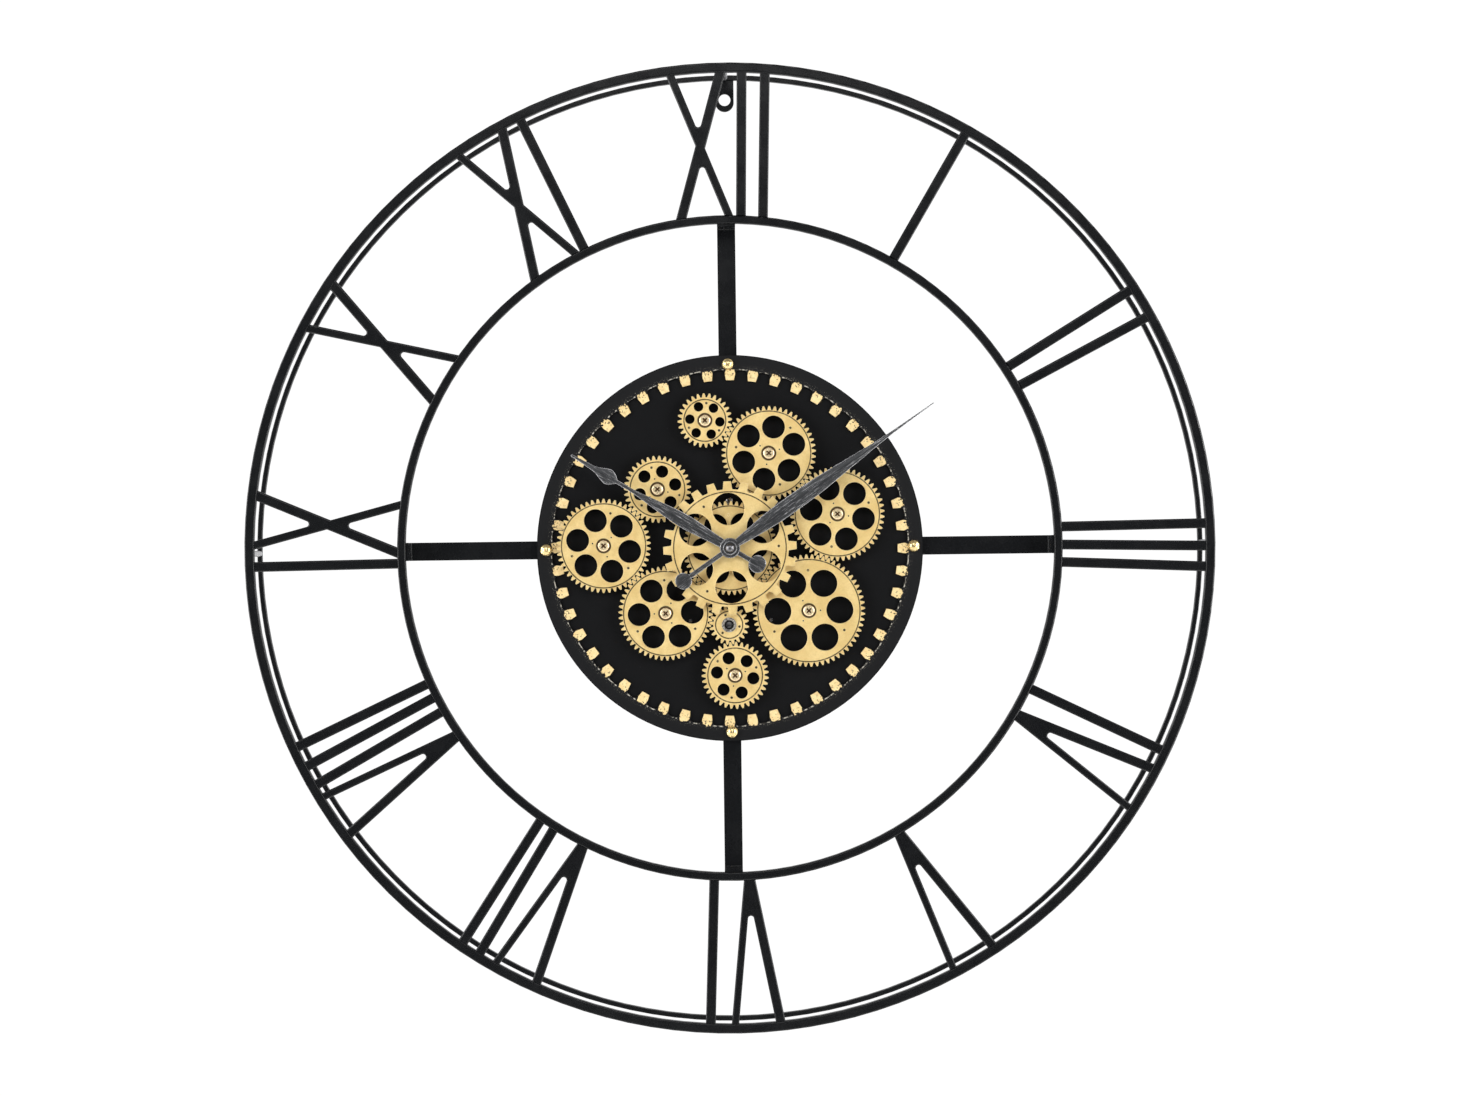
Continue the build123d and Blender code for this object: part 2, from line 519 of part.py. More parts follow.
# ---------------------------------------------------------------- dial
with BuildPart() as dial_spokes:
    for quarter in QUARTERS:
        with BuildSketch(radial_section(quarter)) as bend:
            spoke_back = DIAL_BACK - SPOKE_THICK
            leg_outer = sqrt(INNER_RING_INNER**2 - (SPOKE_WIDTH / 2) ** 2)
            leg_inner = leg_outer - SPOKE_THICK
            Polygon((spoke_back, SPOKE_INNER_END), (spoke_back, leg_outer),
                    (SPOKE_LEG_FRONT, leg_outer), (SPOKE_LEG_FRONT, leg_inner),
                    (DIAL_BACK, leg_inner), (DIAL_BACK, SPOKE_INNER_END), align=None)
            fillet(bend.vertices().sort_by_distance((spoke_back, leg_outer))[0], SPOKE_THICK + SPOKE_BEND)
            fillet(bend.vertices().sort_by_distance((DIAL_BACK, leg_inner))[0], SPOKE_BEND)
        extrude(amount=SPOKE_WIDTH / 2, both=True)
    with BuildSketch(facing(DIAL_BACK - SPOKE_THICK)):
        ring_of(len(QUARTERS), BOLT_CIRCLE, 0, lambda mode: Circle(BOLT_RADIUS), None)
    extrude(amount=SPOKE_THICK, mode=Mode.SUBTRACT)
dial_spokes.part.label = "dial_spokes"
export_step(dial_spokes.part, "parts/dial_spokes.step")

with BuildPart() as dial_plate:
    with BuildSketch(facing(DIAL_BACK)):
        Circle(DIAL_RADIUS)
        Circle(BUSHING_OUTER, mode=Mode.SUBTRACT)
        ring_of(len(QUARTERS), BOLT_CIRCLE, 0, lambda mode: Circle(BOLT_RADIUS, mode=mode))
        with Locations(*[GEAR_AT[name] for name in POSTED_GEARS]):
            Circle(POST_TAIL, mode=Mode.SUBTRACT)
        with Locations(OUTPUT_AT):
            Circle(DRIVE_BOSS, mode=Mode.SUBTRACT)
        drive_lugs = [(side, DRIVE_LUG_HEIGHT) for side in (-DRIVE_LUG, DRIVE_LUG)]
        with Locations((0, LUG_SCREW_HEIGHT), *drive_lugs):
            Circle(SCREW_SHANK, mode=Mode.SUBTRACT)
    extrude(amount=DIAL_FRONT - DIAL_BACK)
dial_plate.part.label = "dial_plate"
export_step(dial_plate.part, "parts/dial_plate.step")

with BuildSketch() as tooth_gap:
    half_pitch_tip = pi * RING_GEAR_TIP / RING_GEAR_TEETH
    half_pitch_root = pi * RING_GEAR_ROOT / RING_GEAR_TEETH
    gap_tip = half_pitch_tip - RING_TOOTH_TIP / 2
    gap_root = half_pitch_root - RING_TOOTH_ROOT / 2
    inside = RING_GEAR_TIP - CUT_MARGIN
    Polygon((inside, -gap_tip), (RING_GEAR_ROOT, -gap_root),
            (RING_GEAR_ROOT, gap_root), (inside, gap_tip), align=None)
    fillet(tooth_gap.vertices().group_by(Axis.X)[-1], RING_GAP_ROUND)

with BuildPart() as ring_gear:
    with BuildSketch(facing(DIAL_FRONT)):
        Circle(RING_GEAR_OUTER)
        Circle(RING_GEAR_TIP, mode=Mode.SUBTRACT)
        first_gap = 90 - RING_GEAR_TURN + 180 / RING_GEAR_TEETH
        with PolarLocations(0, RING_GEAR_TEETH, start_angle=first_gap):
            add(tooth_gap.sketch, mode=Mode.SUBTRACT)
        ring_of(len(QUARTERS), BOLT_CIRCLE, 0, lambda mode: Circle(BOLT_RADIUS, mode=mode))
    extrude(amount=RING_GEAR_THICK)
ring_gear.part.label = "ring_gear"
export_step(ring_gear.part, "parts/ring_gear.step")

NUT_SEAT = DIAL_FRONT + RING_GEAR_THICK
BOLT_SEAT = DIAL_BACK - SPOKE_THICK
with BuildPart() as dial_bolts:
    for quarter in QUARTERS:
        bolt_at = at_clock(quarter, BOLT_CIRCLE)
        with BuildSketch(facing(BOLT_SEAT - BOLT_HEAD_DEEP, *bolt_at)):
            RegularPolygon(BOLT_HEAD_RADIUS, 6)
        extrude(amount=BOLT_HEAD_DEEP)
        disc(BOLT_SEAT, NUT_SEAT + BOLT_REACH - BOLT_SEAT, BOLT_RADIUS, at=bolt_at)
dial_bolts.part.label = "dial_bolts"
export_step(dial_bolts.part, "parts/dial_bolts.step")

with BuildPart() as dial_dome_nuts:
    for quarter in QUARTERS:
        nut_at = at_clock(quarter, BOLT_CIRCLE)
        domed(NUT_SEAT, NUT_SIDE, NUT_RADIUS, NUT_CROWN, nut_at)
        disc(NUT_SEAT, BOLT_REACH, BOLT_RADIUS, Mode.SUBTRACT, nut_at)
dial_dome_nuts.part.label = "dial_dome_nuts"
export_step(dial_dome_nuts.part, "parts/dial_dome_nuts.step")

# ---------------------------------------------------------------- ornamental gears
with BuildPart() as gear_posts:
    for name in POSTED_GEARS:
        turned([(DIAL_BACK, 0), (DIAL_BACK, POST_TAIL), (DIAL_FRONT, POST_TAIL),
                (DIAL_FRONT, POST_FLANGE), (POST_FLANGE_FRONT, POST_FLANGE),
                (POST_FLANGE_FRONT, JOURNAL_RADIUS), (POST_FRONT, JOURNAL_RADIUS),
                (POST_FRONT, 0)], GEAR_AT[name])
        disc(POST_HOLE_BACK, POST_HOLE_DEEP, SCREW_SHANK, Mode.SUBTRACT, GEAR_AT[name])
gear_posts.part.label = "gear_posts"
export_step(gear_posts.part, "parts/gear_posts.step")

with BuildPart() as gear_screws:
    for name in POSTED_GEARS:
        pan_screw(POST_FRONT, SCREW_HEAD_FRONT, SCREW_HEAD_RADIUS, SCREW_SHANK, SCREW_TIP, GEAR_AT[name])
gear_screws.part.label = "gear_screws"
export_step(gear_screws.part, "parts/gear_screws.step")


def web_pattern(teeth, hole_angle):
    """Lightening holes and small through dots of a gear's web, cut from the sketch being built."""
    hole, hole_circle, _, dot_circle, dot_angle, _, _ = GEAR_PATTERNS[teeth]
    ring_of(HOLE_COUNT, hole_circle, hole_angle, lambda mode: Circle(hole, mode=mode))
    if dot_circle:
        ring_of(MARK_COUNT, dot_circle, hole_angle + dot_angle, lambda mode: Circle(DOT_RADIUS, mode=mode))


def face_marks(front, groove, pit_circle, pit_angle, at=(0.0, 0.0)):
    """Fine groove and three shallow pits in the front face of the gear being built."""
    with BuildSketch(facing(front - GROOVE_DEEP, *at)) as line:
        Circle(groove + GROOVE_WIDTH / 2)
        Circle(groove - GROOVE_WIDTH / 2, mode=Mode.SUBTRACT)
    extrude(line.sketch, amount=GROOVE_DEEP, mode=Mode.SUBTRACT)
    with BuildSketch(facing(front - PIT_DEEP, *at)) as pits:
        ring_of(MARK_COUNT, pit_circle, pit_angle, lambda mode: Circle(PIT_RADIUS), None)
    extrude(pits.sketch, amount=PIT_DEEP, mode=Mode.SUBTRACT)


def hole_rims(gear, front, radius):
    """Front rim edges of a gear's lightening holes."""
    rims = gear.edges().filter_by(GeomType.CIRCLE).filter_by(lambda e: abs(e.radius - radius) < TOUCH)
    return rims.filter_by(lambda e: abs(e.center().Y + front) < TOUCH)


for name in POSTED_GEARS:
    teeth, _, _, hole_angle = GEARS[name]
    hole, _, groove, _, _, pit_circle, pit_angle = GEAR_PATTERNS[teeth]
    with BuildPart() as gear:
        with BuildSketch(facing(GEAR_BACK, *GEAR_AT[name])):
            add(spur_face(teeth, MODULE, GEAR_TURN[name]))
            Circle(GEAR_BORE, mode=Mode.SUBTRACT)
            web_pattern(teeth, hole_angle)
        extrude(amount=GEAR_FRONT - GEAR_BACK)
        disc(RECESS_FLOOR, GEAR_FRONT - RECESS_FLOOR, SCREW_RECESS, Mode.SUBTRACT, GEAR_AT[name])
        face_marks(GEAR_FRONT, groove, pit_circle, hole_angle + pit_angle, GEAR_AT[name])
        chamfer(hole_rims(gear, GEAR_FRONT, hole), HOLE_EDGE)
    gear.part.label = name
    export_step(gear.part, f"parts/{name}.step")

with BuildPart() as drive_pinion:
    teeth = GEARS["drive_pinion"][0]
    spur(GEAR_BACK, GEAR_FRONT - GEAR_BACK, teeth, MODULE, GEAR_TURN["drive_pinion"], OUTPUT_AT)
    collar_back = GEAR_BACK - PINION_COLLAR_BACK
    disc(collar_back, PINION_COLLAR_BACK, SCREW_RECESS, at=OUTPUT_AT)
    disc(GEAR_FRONT, PINION_COLLAR_FRONT, SCREW_RECESS, at=OUTPUT_AT)
    disc(collar_back, PINION_BORE_DEEP, OUTPUT_SHAFT, Mode.SUBTRACT, OUTPUT_AT)
    disc(RECESS_FLOOR, PINION_SOCKET_DEEP, PINION_SOCKET, Mode.SUBTRACT, OUTPUT_AT)
    face_marks(GEAR_FRONT, PINION_GROOVE, PINION_PIT_CIRCLE, PINION_PIT_ANGLE, OUTPUT_AT)
drive_pinion.part.label = "drive_pinion"
export_step(drive_pinion.part, "parts/drive_pinion.step")

with BuildPart() as centre_gear:
    teeth, _, _, hole_angle = GEARS["centre_gear"]
    hole, _, groove, _, _, pit_circle, pit_angle = GEAR_PATTERNS[teeth]
    with BuildSketch(facing(GEAR_BACK)):
        add(spur_face(teeth, MODULE, GEAR_TURN["centre_gear"]))
        web_pattern(teeth, hole_angle)
    extrude(amount=GEAR_FRONT - GEAR_BACK)
    face_marks(GEAR_FRONT, groove, pit_circle, hole_angle + pit_angle)
    chamfer(hole_rims(centre_gear, GEAR_FRONT, hole), HOLE_EDGE)
    turned([(HUB_BACK, 0), (HUB_BACK, HUB_RADIUS), (CENTRE_WHEEL_BACK, HUB_RADIUS),
            (CENTRE_WHEEL_BACK, SPIGOT_RADIUS), (CENTRE_WHEEL_FRONT, SPIGOT_RADIUS),
            (CENTRE_WHEEL_FRONT, 0)])
    disc(HUB_BACK, CENTRE_WHEEL_FRONT - HUB_BACK, BUSHING_OUTER + BUSHING_GAP, Mode.SUBTRACT)
centre_gear.part.label = "centre_gear"
export_step(centre_gear.part, "parts/centre_gear.step")

with BuildPart() as centre_wheel:
    with BuildSketch(facing(CENTRE_WHEEL_BACK)) as toothed:
        Circle(CENTRE_WHEEL_ROOT)
        with PolarLocations(0, CENTRE_WHEEL_TEETH, start_angle=90 - CENTRE_WHEEL_TURN):
            tooth_root = CENTRE_WHEEL_ROOT - CENTRE_TOOTH_OVERLAP
            half_root, half_tip = CENTRE_TOOTH_ROOT / 2, CENTRE_TOOTH_TIP / 2
            Polygon((tooth_root, -half_root), (CENTRE_WHEEL_TIP, -half_tip),
                    (CENTRE_WHEEL_TIP, half_tip), (tooth_root, half_root), align=None)
        near_root = CENTRE_WHEEL_ROOT + CENTRE_TOOTH_ROUND
        corners = toothed.vertices().filter_by(lambda v: Vector(v).length < near_root)
        fillet(corners, CENTRE_TOOTH_ROUND)
        Circle(SPIGOT_RADIUS, mode=Mode.SUBTRACT)
        ring_of(HOLE_COUNT, CENTRE_HOLE_CIRCLE, CENTRE_WHEEL_TURN,
                lambda mode: Circle(CENTRE_HOLE, mode=mode))
    extrude(amount=CENTRE_WHEEL_FRONT - CENTRE_WHEEL_BACK)
    between_holes = CENTRE_WHEEL_TURN - 180 / HOLE_COUNT
    face_marks(CENTRE_WHEEL_FRONT, CENTRE_GROOVE, CENTRE_PIT_CIRCLE, between_holes)
    chamfer(hole_rims(centre_wheel, CENTRE_WHEEL_FRONT, CENTRE_HOLE), HOLE_EDGE)
centre_wheel.part.label = "centre_wheel"
export_step(centre_wheel.part, "parts/centre_wheel.step")

with BuildPart() as centre_clip:
    with BuildSketch(facing(CLIP_BACK)):
        Circle(SPIGOT_RADIUS)
        Circle(CLIP_GROOVE, mode=Mode.SUBTRACT)
        with Locations((0, -SPIGOT_RADIUS)):
            Rectangle(CLIP_OPENING, 2 * SPIGOT_RADIUS, mode=Mode.SUBTRACT)
    extrude(amount=CLIP_THICK)
centre_clip.part.label = "centre_clip"
export_step(centre_clip.part, "parts/centre_clip.step")


# ---------------------------------------------------------------- hands
with BuildPart() as minute_hand:
    with BuildSketch(pointing(MINUTE_BACK, MINUTE_ANGLE)) as outline:
        with BuildLine():
            edge = Spline(*MINUTE_BLADE)
            Line(edge @ 1, (MINUTE_BLADE[-1][0], 0))
            Line(edge @ 0, (0, 0))
            mirror(about=Plane.XZ)
        make_face()
        with Locations((-MINUTE_TAIL / 2, 0)):
            Rectangle(MINUTE_TAIL, 2 * TAIL_STEM)
        with Locations((-MINUTE_TAIL, 0)):
            Circle(MINUTE_DISC)
        Circle(HAND_HUB)
    extrude(amount=HAND_THICK)
    disc(MINUTE_SEAT, MINUTE_BACK + MINUTE_BOSS_OVERLAP - MINUTE_SEAT, MINUTE_BOSS)
    turned([(MINUTE_BACK, 0), (MINUTE_BACK, HAND_HUB), (MINUTE_BACK + HAND_THICK + HUB_RISE, HAND_HUB),
            (NUT_FACE, HAND_HUB - HUB_SLOPE), (NUT_FACE, 0)])
    disc(MINUTE_SEAT, NUT_FACE - MINUTE_SEAT, ARBOR_THREAD, Mode.SUBTRACT)
minute_hand.part.label = "minute_hand"
export_step(minute_hand.part, "parts/minute_hand.step")

with BuildPart() as hour_hand:
    with BuildSketch(pointing(HOUR_BACK, HOUR_ANGLE)) as outline:
        for profile in (HOUR_BLADE, HOUR_LEAF):
            with BuildLine():
                edge = Spline(*profile)
                Line(edge @ 1, (profile[-1][0], 0))
                Line(edge @ 0, (profile[0][0], 0))
                mirror(about=Plane.XZ)
            make_face()
        with Locations((HOUR_LEAF[-1][0], 0)):
            Circle(HOUR_TIP_ROUND)
        with Locations((-HOUR_TAIL / 2, 0)):
            Rectangle(HOUR_TAIL, 2 * TAIL_STEM)
        with Locations((-HOUR_TAIL, 0)):
            Circle(HOUR_DISC)
        Circle(HOUR_HUB)
    extrude(amount=HAND_THICK)
    disc(HOUR_SEAT, HOUR_TUBE_FRONT - HOUR_SEAT, HOUR_BOSS)
    disc(HOUR_SEAT, HOUR_TUBE_FRONT - HOUR_SEAT, HOUR_TUBE_OUTER, Mode.SUBTRACT)
hour_hand.part.label = "hour_hand"
export_step(hour_hand.part, "parts/hour_hand.step")

with BuildPart() as hand_nut:
    domed(NUT_FACE, HAND_NUT_SIDE, HAND_NUT_RADIUS, HAND_NUT_CROWN)
    disc(NUT_FACE, HAND_NUT_BORE, ARBOR_THREAD, Mode.SUBTRACT)
hand_nut.part.label = "hand_nut"
export_step(hand_nut.part, "parts/hand_nut.step")

# ---------------------------------------------------------------- hand shafts and motion work
MOTION_AT = (0.0, MOTION_OFFSET)
MOTION_TURN = meshed_turn(CANNON_TEETH, 0.0, 0.0, MOTION_TEETH)
HOUR_WHEEL_TURN = meshed_turn(MOTION_PINION_TEETH, 0.0, 180.0, HOUR_WHEEL_TEETH)

with BuildPart() as minute_arbor:
    turned(ARBOR_SECTION)
    spur(CANNON_BACK, CANNON_THICK, CANNON_TEETH, CANNON_MODULE, 0.0)
minute_arbor.part.label = "minute_arbor"
export_step(minute_arbor.part, "parts/minute_arbor.step")

with BuildPart() as hour_wheel:
    tube_long = HOUR_TUBE_FRONT - HOUR_WHEEL_BACK
    spur(HOUR_WHEEL_BACK, HOUR_WHEEL_THICK, HOUR_WHEEL_TEETH, HOUR_MODULE, HOUR_WHEEL_TURN)
    disc(HOUR_WHEEL_BACK, tube_long, HOUR_TUBE_OUTER)
    disc(HOUR_WHEEL_BACK, tube_long, HOUR_TUBE_BORE, Mode.SUBTRACT)
hour_wheel.part.label = "hour_wheel"
export_step(hour_wheel.part, "parts/hour_wheel.step")

with BuildPart() as motion_wheel:
    turned(MOTION_SECTION, MOTION_AT)
    spur(MOTION_WHEEL_BACK, MOTION_WHEEL_THICK, MOTION_TEETH, CANNON_MODULE, MOTION_TURN, MOTION_AT)
    spur(MOTION_PINION_BACK, MOTION_PINION_LONG, MOTION_PINION_TEETH, HOUR_MODULE, 0.0, MOTION_AT)
    with BuildSketch(facing(KNOB_BACK, *MOTION_AT)):
        ring_of(KNOB_FLUTES, KNOB_RADIUS, 0, lambda mode: Circle(FLUTE_RADIUS), None)
    extrude(amount=KNOB_FRONT - KNOB_BACK, mode=Mode.SUBTRACT)
motion_wheel.part.label = "motion_wheel"
export_step(motion_wheel.part, "parts/motion_wheel.step")

with BuildPart() as centre_bushing:
    clip_front = CLIP_BACK + CLIP_THICK
    turned([(BUSHING_BACK, 0), (BUSHING_BACK, FLANGE_RADIUS), (FLANGE_FRONT, FLANGE_RADIUS),
            (FLANGE_FRONT, BUSHING_OUTER), (CLIP_BACK, BUSHING_OUTER), (CLIP_BACK, CLIP_GROOVE),
            (clip_front, CLIP_GROOVE), (clip_front, BUSHING_NOSE), (BUSHING_FRONT, BUSHING_NOSE),
            (BUSHING_FRONT, 0)])
    disc(BUSHING_BACK, BUSHING_FRONT - BUSHING_BACK, BUSHING_BORE, Mode.SUBTRACT)
centre_bushing.part.label = "centre_bushing"
export_step(centre_bushing.part, "parts/centre_bushing.step")

with BuildPart() as bushing_nut:
    with BuildSketch(facing(DIAL_FRONT)):
        RegularPolygon(BUSHING_NUT_RADIUS, 6)
        Circle(BUSHING_OUTER, mode=Mode.SUBTRACT)
    extrude(amount=BUSHING_NUT_THICK)
bushing_nut.part.label = "bushing_nut"
export_step(bushing_nut.part, "parts/bushing_nut.step")

with BuildPart() as movement_gasket:
    with BuildSketch(facing(MOVEMENT_FRONT)):
        Circle(GASKET_RADIUS)
        Circle(BUSHING_OUTER, mode=Mode.SUBTRACT)
    extrude(amount=DIAL_BACK - MOVEMENT_FRONT)
movement_gasket.part.label = "movement_gasket"
export_step(movement_gasket.part, "parts/movement_gasket.step")


# ---------------------------------------------------------------- movement and drive cases
def corner_edges(case):
    """The case's four outer edges square to the wall."""
    return case.edges().filter_by(Axis.Y).filter_by(lambda e: abs(abs(e.center().X) - UNIT_HALF) < TOUCH)


def unit_case(back, front, bottom, shelf, top):
    """Moulded case open at the back: a gear chamber above its shelf and a battery bay below it."""
    inner = UNIT_HALF - WALL
    block(back, front - back, -UNIT_HALF, UNIT_HALF, bottom, top)
    block(back, front - back - WALL, -inner, inner, shelf, top - WALL, Mode.SUBTRACT)
    block(back, front - back - WALL, -inner, inner, bottom + WALL, shelf - WALL, Mode.SUBTRACT)


with BuildPart() as movement_case:
    unit_case(MOVEMENT_BACK, MOVEMENT_FRONT, MOVEMENT_BOTTOM, MOVEMENT_SHELF, MOVEMENT_TOP)
    fillet(corner_edges(movement_case), CASE_ROUND)
    lug_back = MOVEMENT_FRONT - LUG_THICK
    with BuildSketch(facing(lug_back)):
        with Locations((0, (MOVEMENT_TOP + LUG_SCREW_HEIGHT) / 2)):
            Rectangle(LUG_WIDTH, LUG_SCREW_HEIGHT - MOVEMENT_TOP)
        with Locations((0, LUG_SCREW_HEIGHT)):
            Circle(LUG_WIDTH / 2)
    extrude(amount=LUG_THICK)
    disc(lug_back, LUG_THICK, SCREW_SHANK, Mode.SUBTRACT, (0, LUG_SCREW_HEIGHT))
    wall_back = MOVEMENT_FRONT - WALL
    disc(wall_back, WALL, BUSHING_OUTER, Mode.SUBTRACT)
    disc(wall_back, PIVOT_HOLES["motion"], MOTION_PIVOT + SHAFT_CLEARANCE, Mode.SUBTRACT, MOTION_AT)
    disc(wall_back, PIVOT_HOLES["rotor"], ROTOR_PIVOT + SHAFT_CLEARANCE, Mode.SUBTRACT, ROTOR_AT)
movement_case.part.label = "movement_case"
export_step(movement_case.part, "parts/movement_case.step")

with BuildPart() as movement_cover:
    shelf_bottom = MOVEMENT_SHELF - WALL
    block(MOVEMENT_BACK - COVER_THICK, COVER_THICK, -UNIT_HALF, UNIT_HALF, shelf_bottom, MOVEMENT_TOP)
    upper = movement_cover.edges().filter_by(Axis.Y).group_by(Axis.Z)[-1]
    fillet(upper, CASE_ROUND)
    disc(ARBOR_BEARING_BACK, COVER_THICK, ARBOR_PIVOT + SHAFT_CLEARANCE, Mode.SUBTRACT)
    stem_hole = KNOB_STEM + SHAFT_CLEARANCE
    disc(MOVEMENT_BACK - COVER_THICK, COVER_THICK, stem_hole, Mode.SUBTRACT, MOTION_AT)
    rotor_hole = ROTOR_PIVOT + SHAFT_CLEARANCE
    disc(ROTOR_BEARING_BACK, COVER_THICK, rotor_hole, Mode.SUBTRACT, ROTOR_AT)
movement_cover.part.label = "movement_cover"
export_step(movement_cover.part, "parts/movement_cover.step")

with BuildPart() as step_rotor:
    turned(ROTOR_SECTION, ROTOR_AT)
    spur(ROTOR_PINION_BACK, ROTOR_PINION_LONG, ROTOR_TEETH, ROTOR_MODULE, 0.0, ROTOR_AT)
step_rotor.part.label = "step_rotor"
export_step(step_rotor.part, "parts/step_rotor.step")

with BuildPart() as step_coil:
    window_x, window_z = STATOR_WINDOW_AT
    window_wide = STATOR_WINDOW[0]
    with BuildSketch(facing(STATOR_BACK)):
        with Locations(STATOR_AT):
            Rectangle(*STATOR_SIZE)
        with Locations(STATOR_WINDOW_AT):
            Rectangle(*STATOR_WINDOW, mode=Mode.SUBTRACT)
        with Locations(ROTOR_AT):
            Circle(ROTOR_MAGNET + STATOR_GAP, mode=Mode.SUBTRACT)
    extrude(amount=STATOR_THICK)
    with BuildSketch(across(window_x - window_wide / 2, WINDING_DEPTH, window_z)):
        Circle(WINDING_RADIUS)
    extrude(amount=window_wide)
step_coil.part.label = "step_coil"
export_step(step_coil.part, "parts/step_coil.step")

with BuildPart() as circuit_board:
    board_front = BOARD_BACK + BOARD_THICK
    block(BOARD_BACK, BOARD_THICK, *BOARD_BOX)
    disc(board_front, BOARD_THICK, BOARD_BLOB, at=BOARD_BLOB_AT)
    with BuildSketch(across(CRYSTAL_AT[0], board_front + CRYSTAL_SIZE / 2, CRYSTAL_AT[1])):
        Rectangle(CRYSTAL_SIZE, CRYSTAL_SIZE)
    extrude(amount=CRYSTAL_LONG)
circuit_board.part.label = "circuit_board"
export_step(circuit_board.part, "parts/circuit_board.step")

with BuildPart() as batteries:
    for height, depth in CELL_PLACES:
        end = across(CELL_LEFT, depth, height)
        with BuildSketch(end):
            Circle(CELL_RADIUS)
        extrude(amount=CELL_LENGTH)
        with BuildSketch(end.offset(CELL_LENGTH)):
            Circle(CELL_NUB_RADIUS)
        extrude(amount=CELL_NUB)
batteries.part.label = "batteries"
export_step(batteries.part, "parts/batteries.step")

with BuildPart() as battery_contacts:
    inner = UNIT_HALF - WALL
    for height, depth in CELL_PLACES:
        back, low, high = depth - CONTACT_HALF, height - CONTACT_HALF, height + CONTACT_HALF
        block(back, 2 * CONTACT_HALF, -inner, CONTACT_THICK - inner, low, high)
        block(back, 2 * CONTACT_HALF, inner - CONTACT_THICK, inner, low, high)
        with BuildSketch(across(CONTACT_THICK - inner, depth, height)):
            Circle(SPRING_RADIUS)
        extrude(amount=CELL_LEFT - CONTACT_THICK + inner)
battery_contacts.part.label = "battery_contacts"
export_step(battery_contacts.part, "parts/battery_contacts.step")

with BuildPart() as fixing_screws:
    pan_screw(DIAL_FRONT, DIAL_FRONT + FIXING_HEAD_DEEP, FIXING_HEAD_RADIUS, SCREW_SHANK,
              MOVEMENT_FRONT - LUG_THICK, (0, LUG_SCREW_HEIGHT))
    for lug_at in drive_lugs:
        disc(DRIVE_SCREW_BACK, DRIVE_LUG_BACK - DRIVE_SCREW_BACK, FIXING_HEAD_RADIUS, at=lug_at)
        disc(DRIVE_LUG_BACK, DIAL_FRONT - DRIVE_LUG_BACK, SCREW_SHANK, at=lug_at)
fixing_screws.part.label = "fixing_screws"
export_step(fixing_screws.part, "parts/fixing_screws.step")

DRIVE_INNER_FRONT = DIAL_BACK - WALL
with BuildPart() as drive_case:
    unit_case(DRIVE_BACK, DIAL_BACK, DRIVE_BOTTOM, DRIVE_SHELF, DRIVE_TOP)
    fillet(corner_edges(drive_case), CASE_ROUND)
    with BuildSketch(facing(DRIVE_LUG_BACK)):
        with Locations((0, DRIVE_LUG_HEIGHT)):
            SlotCenterToCenter(2 * DRIVE_LUG, LUG_WIDTH)
            Rectangle(2 * UNIT_HALF, LUG_WIDTH, mode=Mode.SUBTRACT)
    extrude(amount=LUG_THICK)
    for lug_at in drive_lugs:
        disc(DRIVE_LUG_BACK, LUG_THICK, SCREW_SHANK, Mode.SUBTRACT, lug_at)
    disc(DIAL_BACK, DRIVE_BOSS_LONG, DRIVE_BOSS, at=OUTPUT_AT)
    boss_bore = OUTPUT_SHAFT + SHAFT_CLEARANCE
    disc(DRIVE_INNER_FRONT, DRIVE_BOSS_LONG + WALL, boss_bore, Mode.SUBTRACT, OUTPUT_AT)
    disc(DRIVE_INNER_FRONT, BEARING_DEEP, REDUCTION_SHAFT + SHAFT_CLEARANCE, Mode.SUBTRACT, REDUCTION_AT)
drive_case.part.label = "drive_case"
export_step(drive_case.part, "parts/drive_case.step")

with BuildPart() as drive_cover:
    block(DRIVE_BACK - COVER_THICK, COVER_THICK, -UNIT_HALF, UNIT_HALF, DRIVE_SHELF - WALL, DRIVE_TOP)
    upper = drive_cover.edges().filter_by(Axis.Y).group_by(Axis.Z)[-1]
    fillet(upper, CASE_ROUND)
    disc(BEARING_BACK, BEARING_DEEP, OUTPUT_JOURNAL + SHAFT_CLEARANCE, Mode.SUBTRACT, OUTPUT_AT)
    disc(BEARING_BACK, BEARING_DEEP, REDUCTION_SHAFT + SHAFT_CLEARANCE, Mode.SUBTRACT, REDUCTION_AT)
    x, z = SWITCH_AT
    slot_half_wide, slot_half_high = (half + SWITCH_GAP for half in SWITCH_NECK)
    block(DRIVE_BACK - COVER_THICK, COVER_THICK, x - slot_half_wide, x + SWITCH_TRAVEL + slot_half_wide,
          z - slot_half_high, z + slot_half_high, Mode.SUBTRACT)
drive_cover.part.label = "drive_cover"
export_step(drive_cover.part, "parts/drive_cover.step")

with BuildPart() as switch_slider:
    x, z = SWITCH_AT
    neck_wide, neck_high = SWITCH_NECK
    plate_wide, plate_high = SWITCH_PLATE
    block(SWITCH_BACK, SWITCH_LONG, x - neck_wide, x + neck_wide, z - neck_high, z + neck_high)
    block(SWITCH_PLATE_BACK, SWITCH_PLATE_THICK, x - plate_wide, x + plate_wide, z - plate_high,
          z + plate_high)
switch_slider.part.label = "switch_slider"
export_step(switch_slider.part, "parts/switch_slider.step")

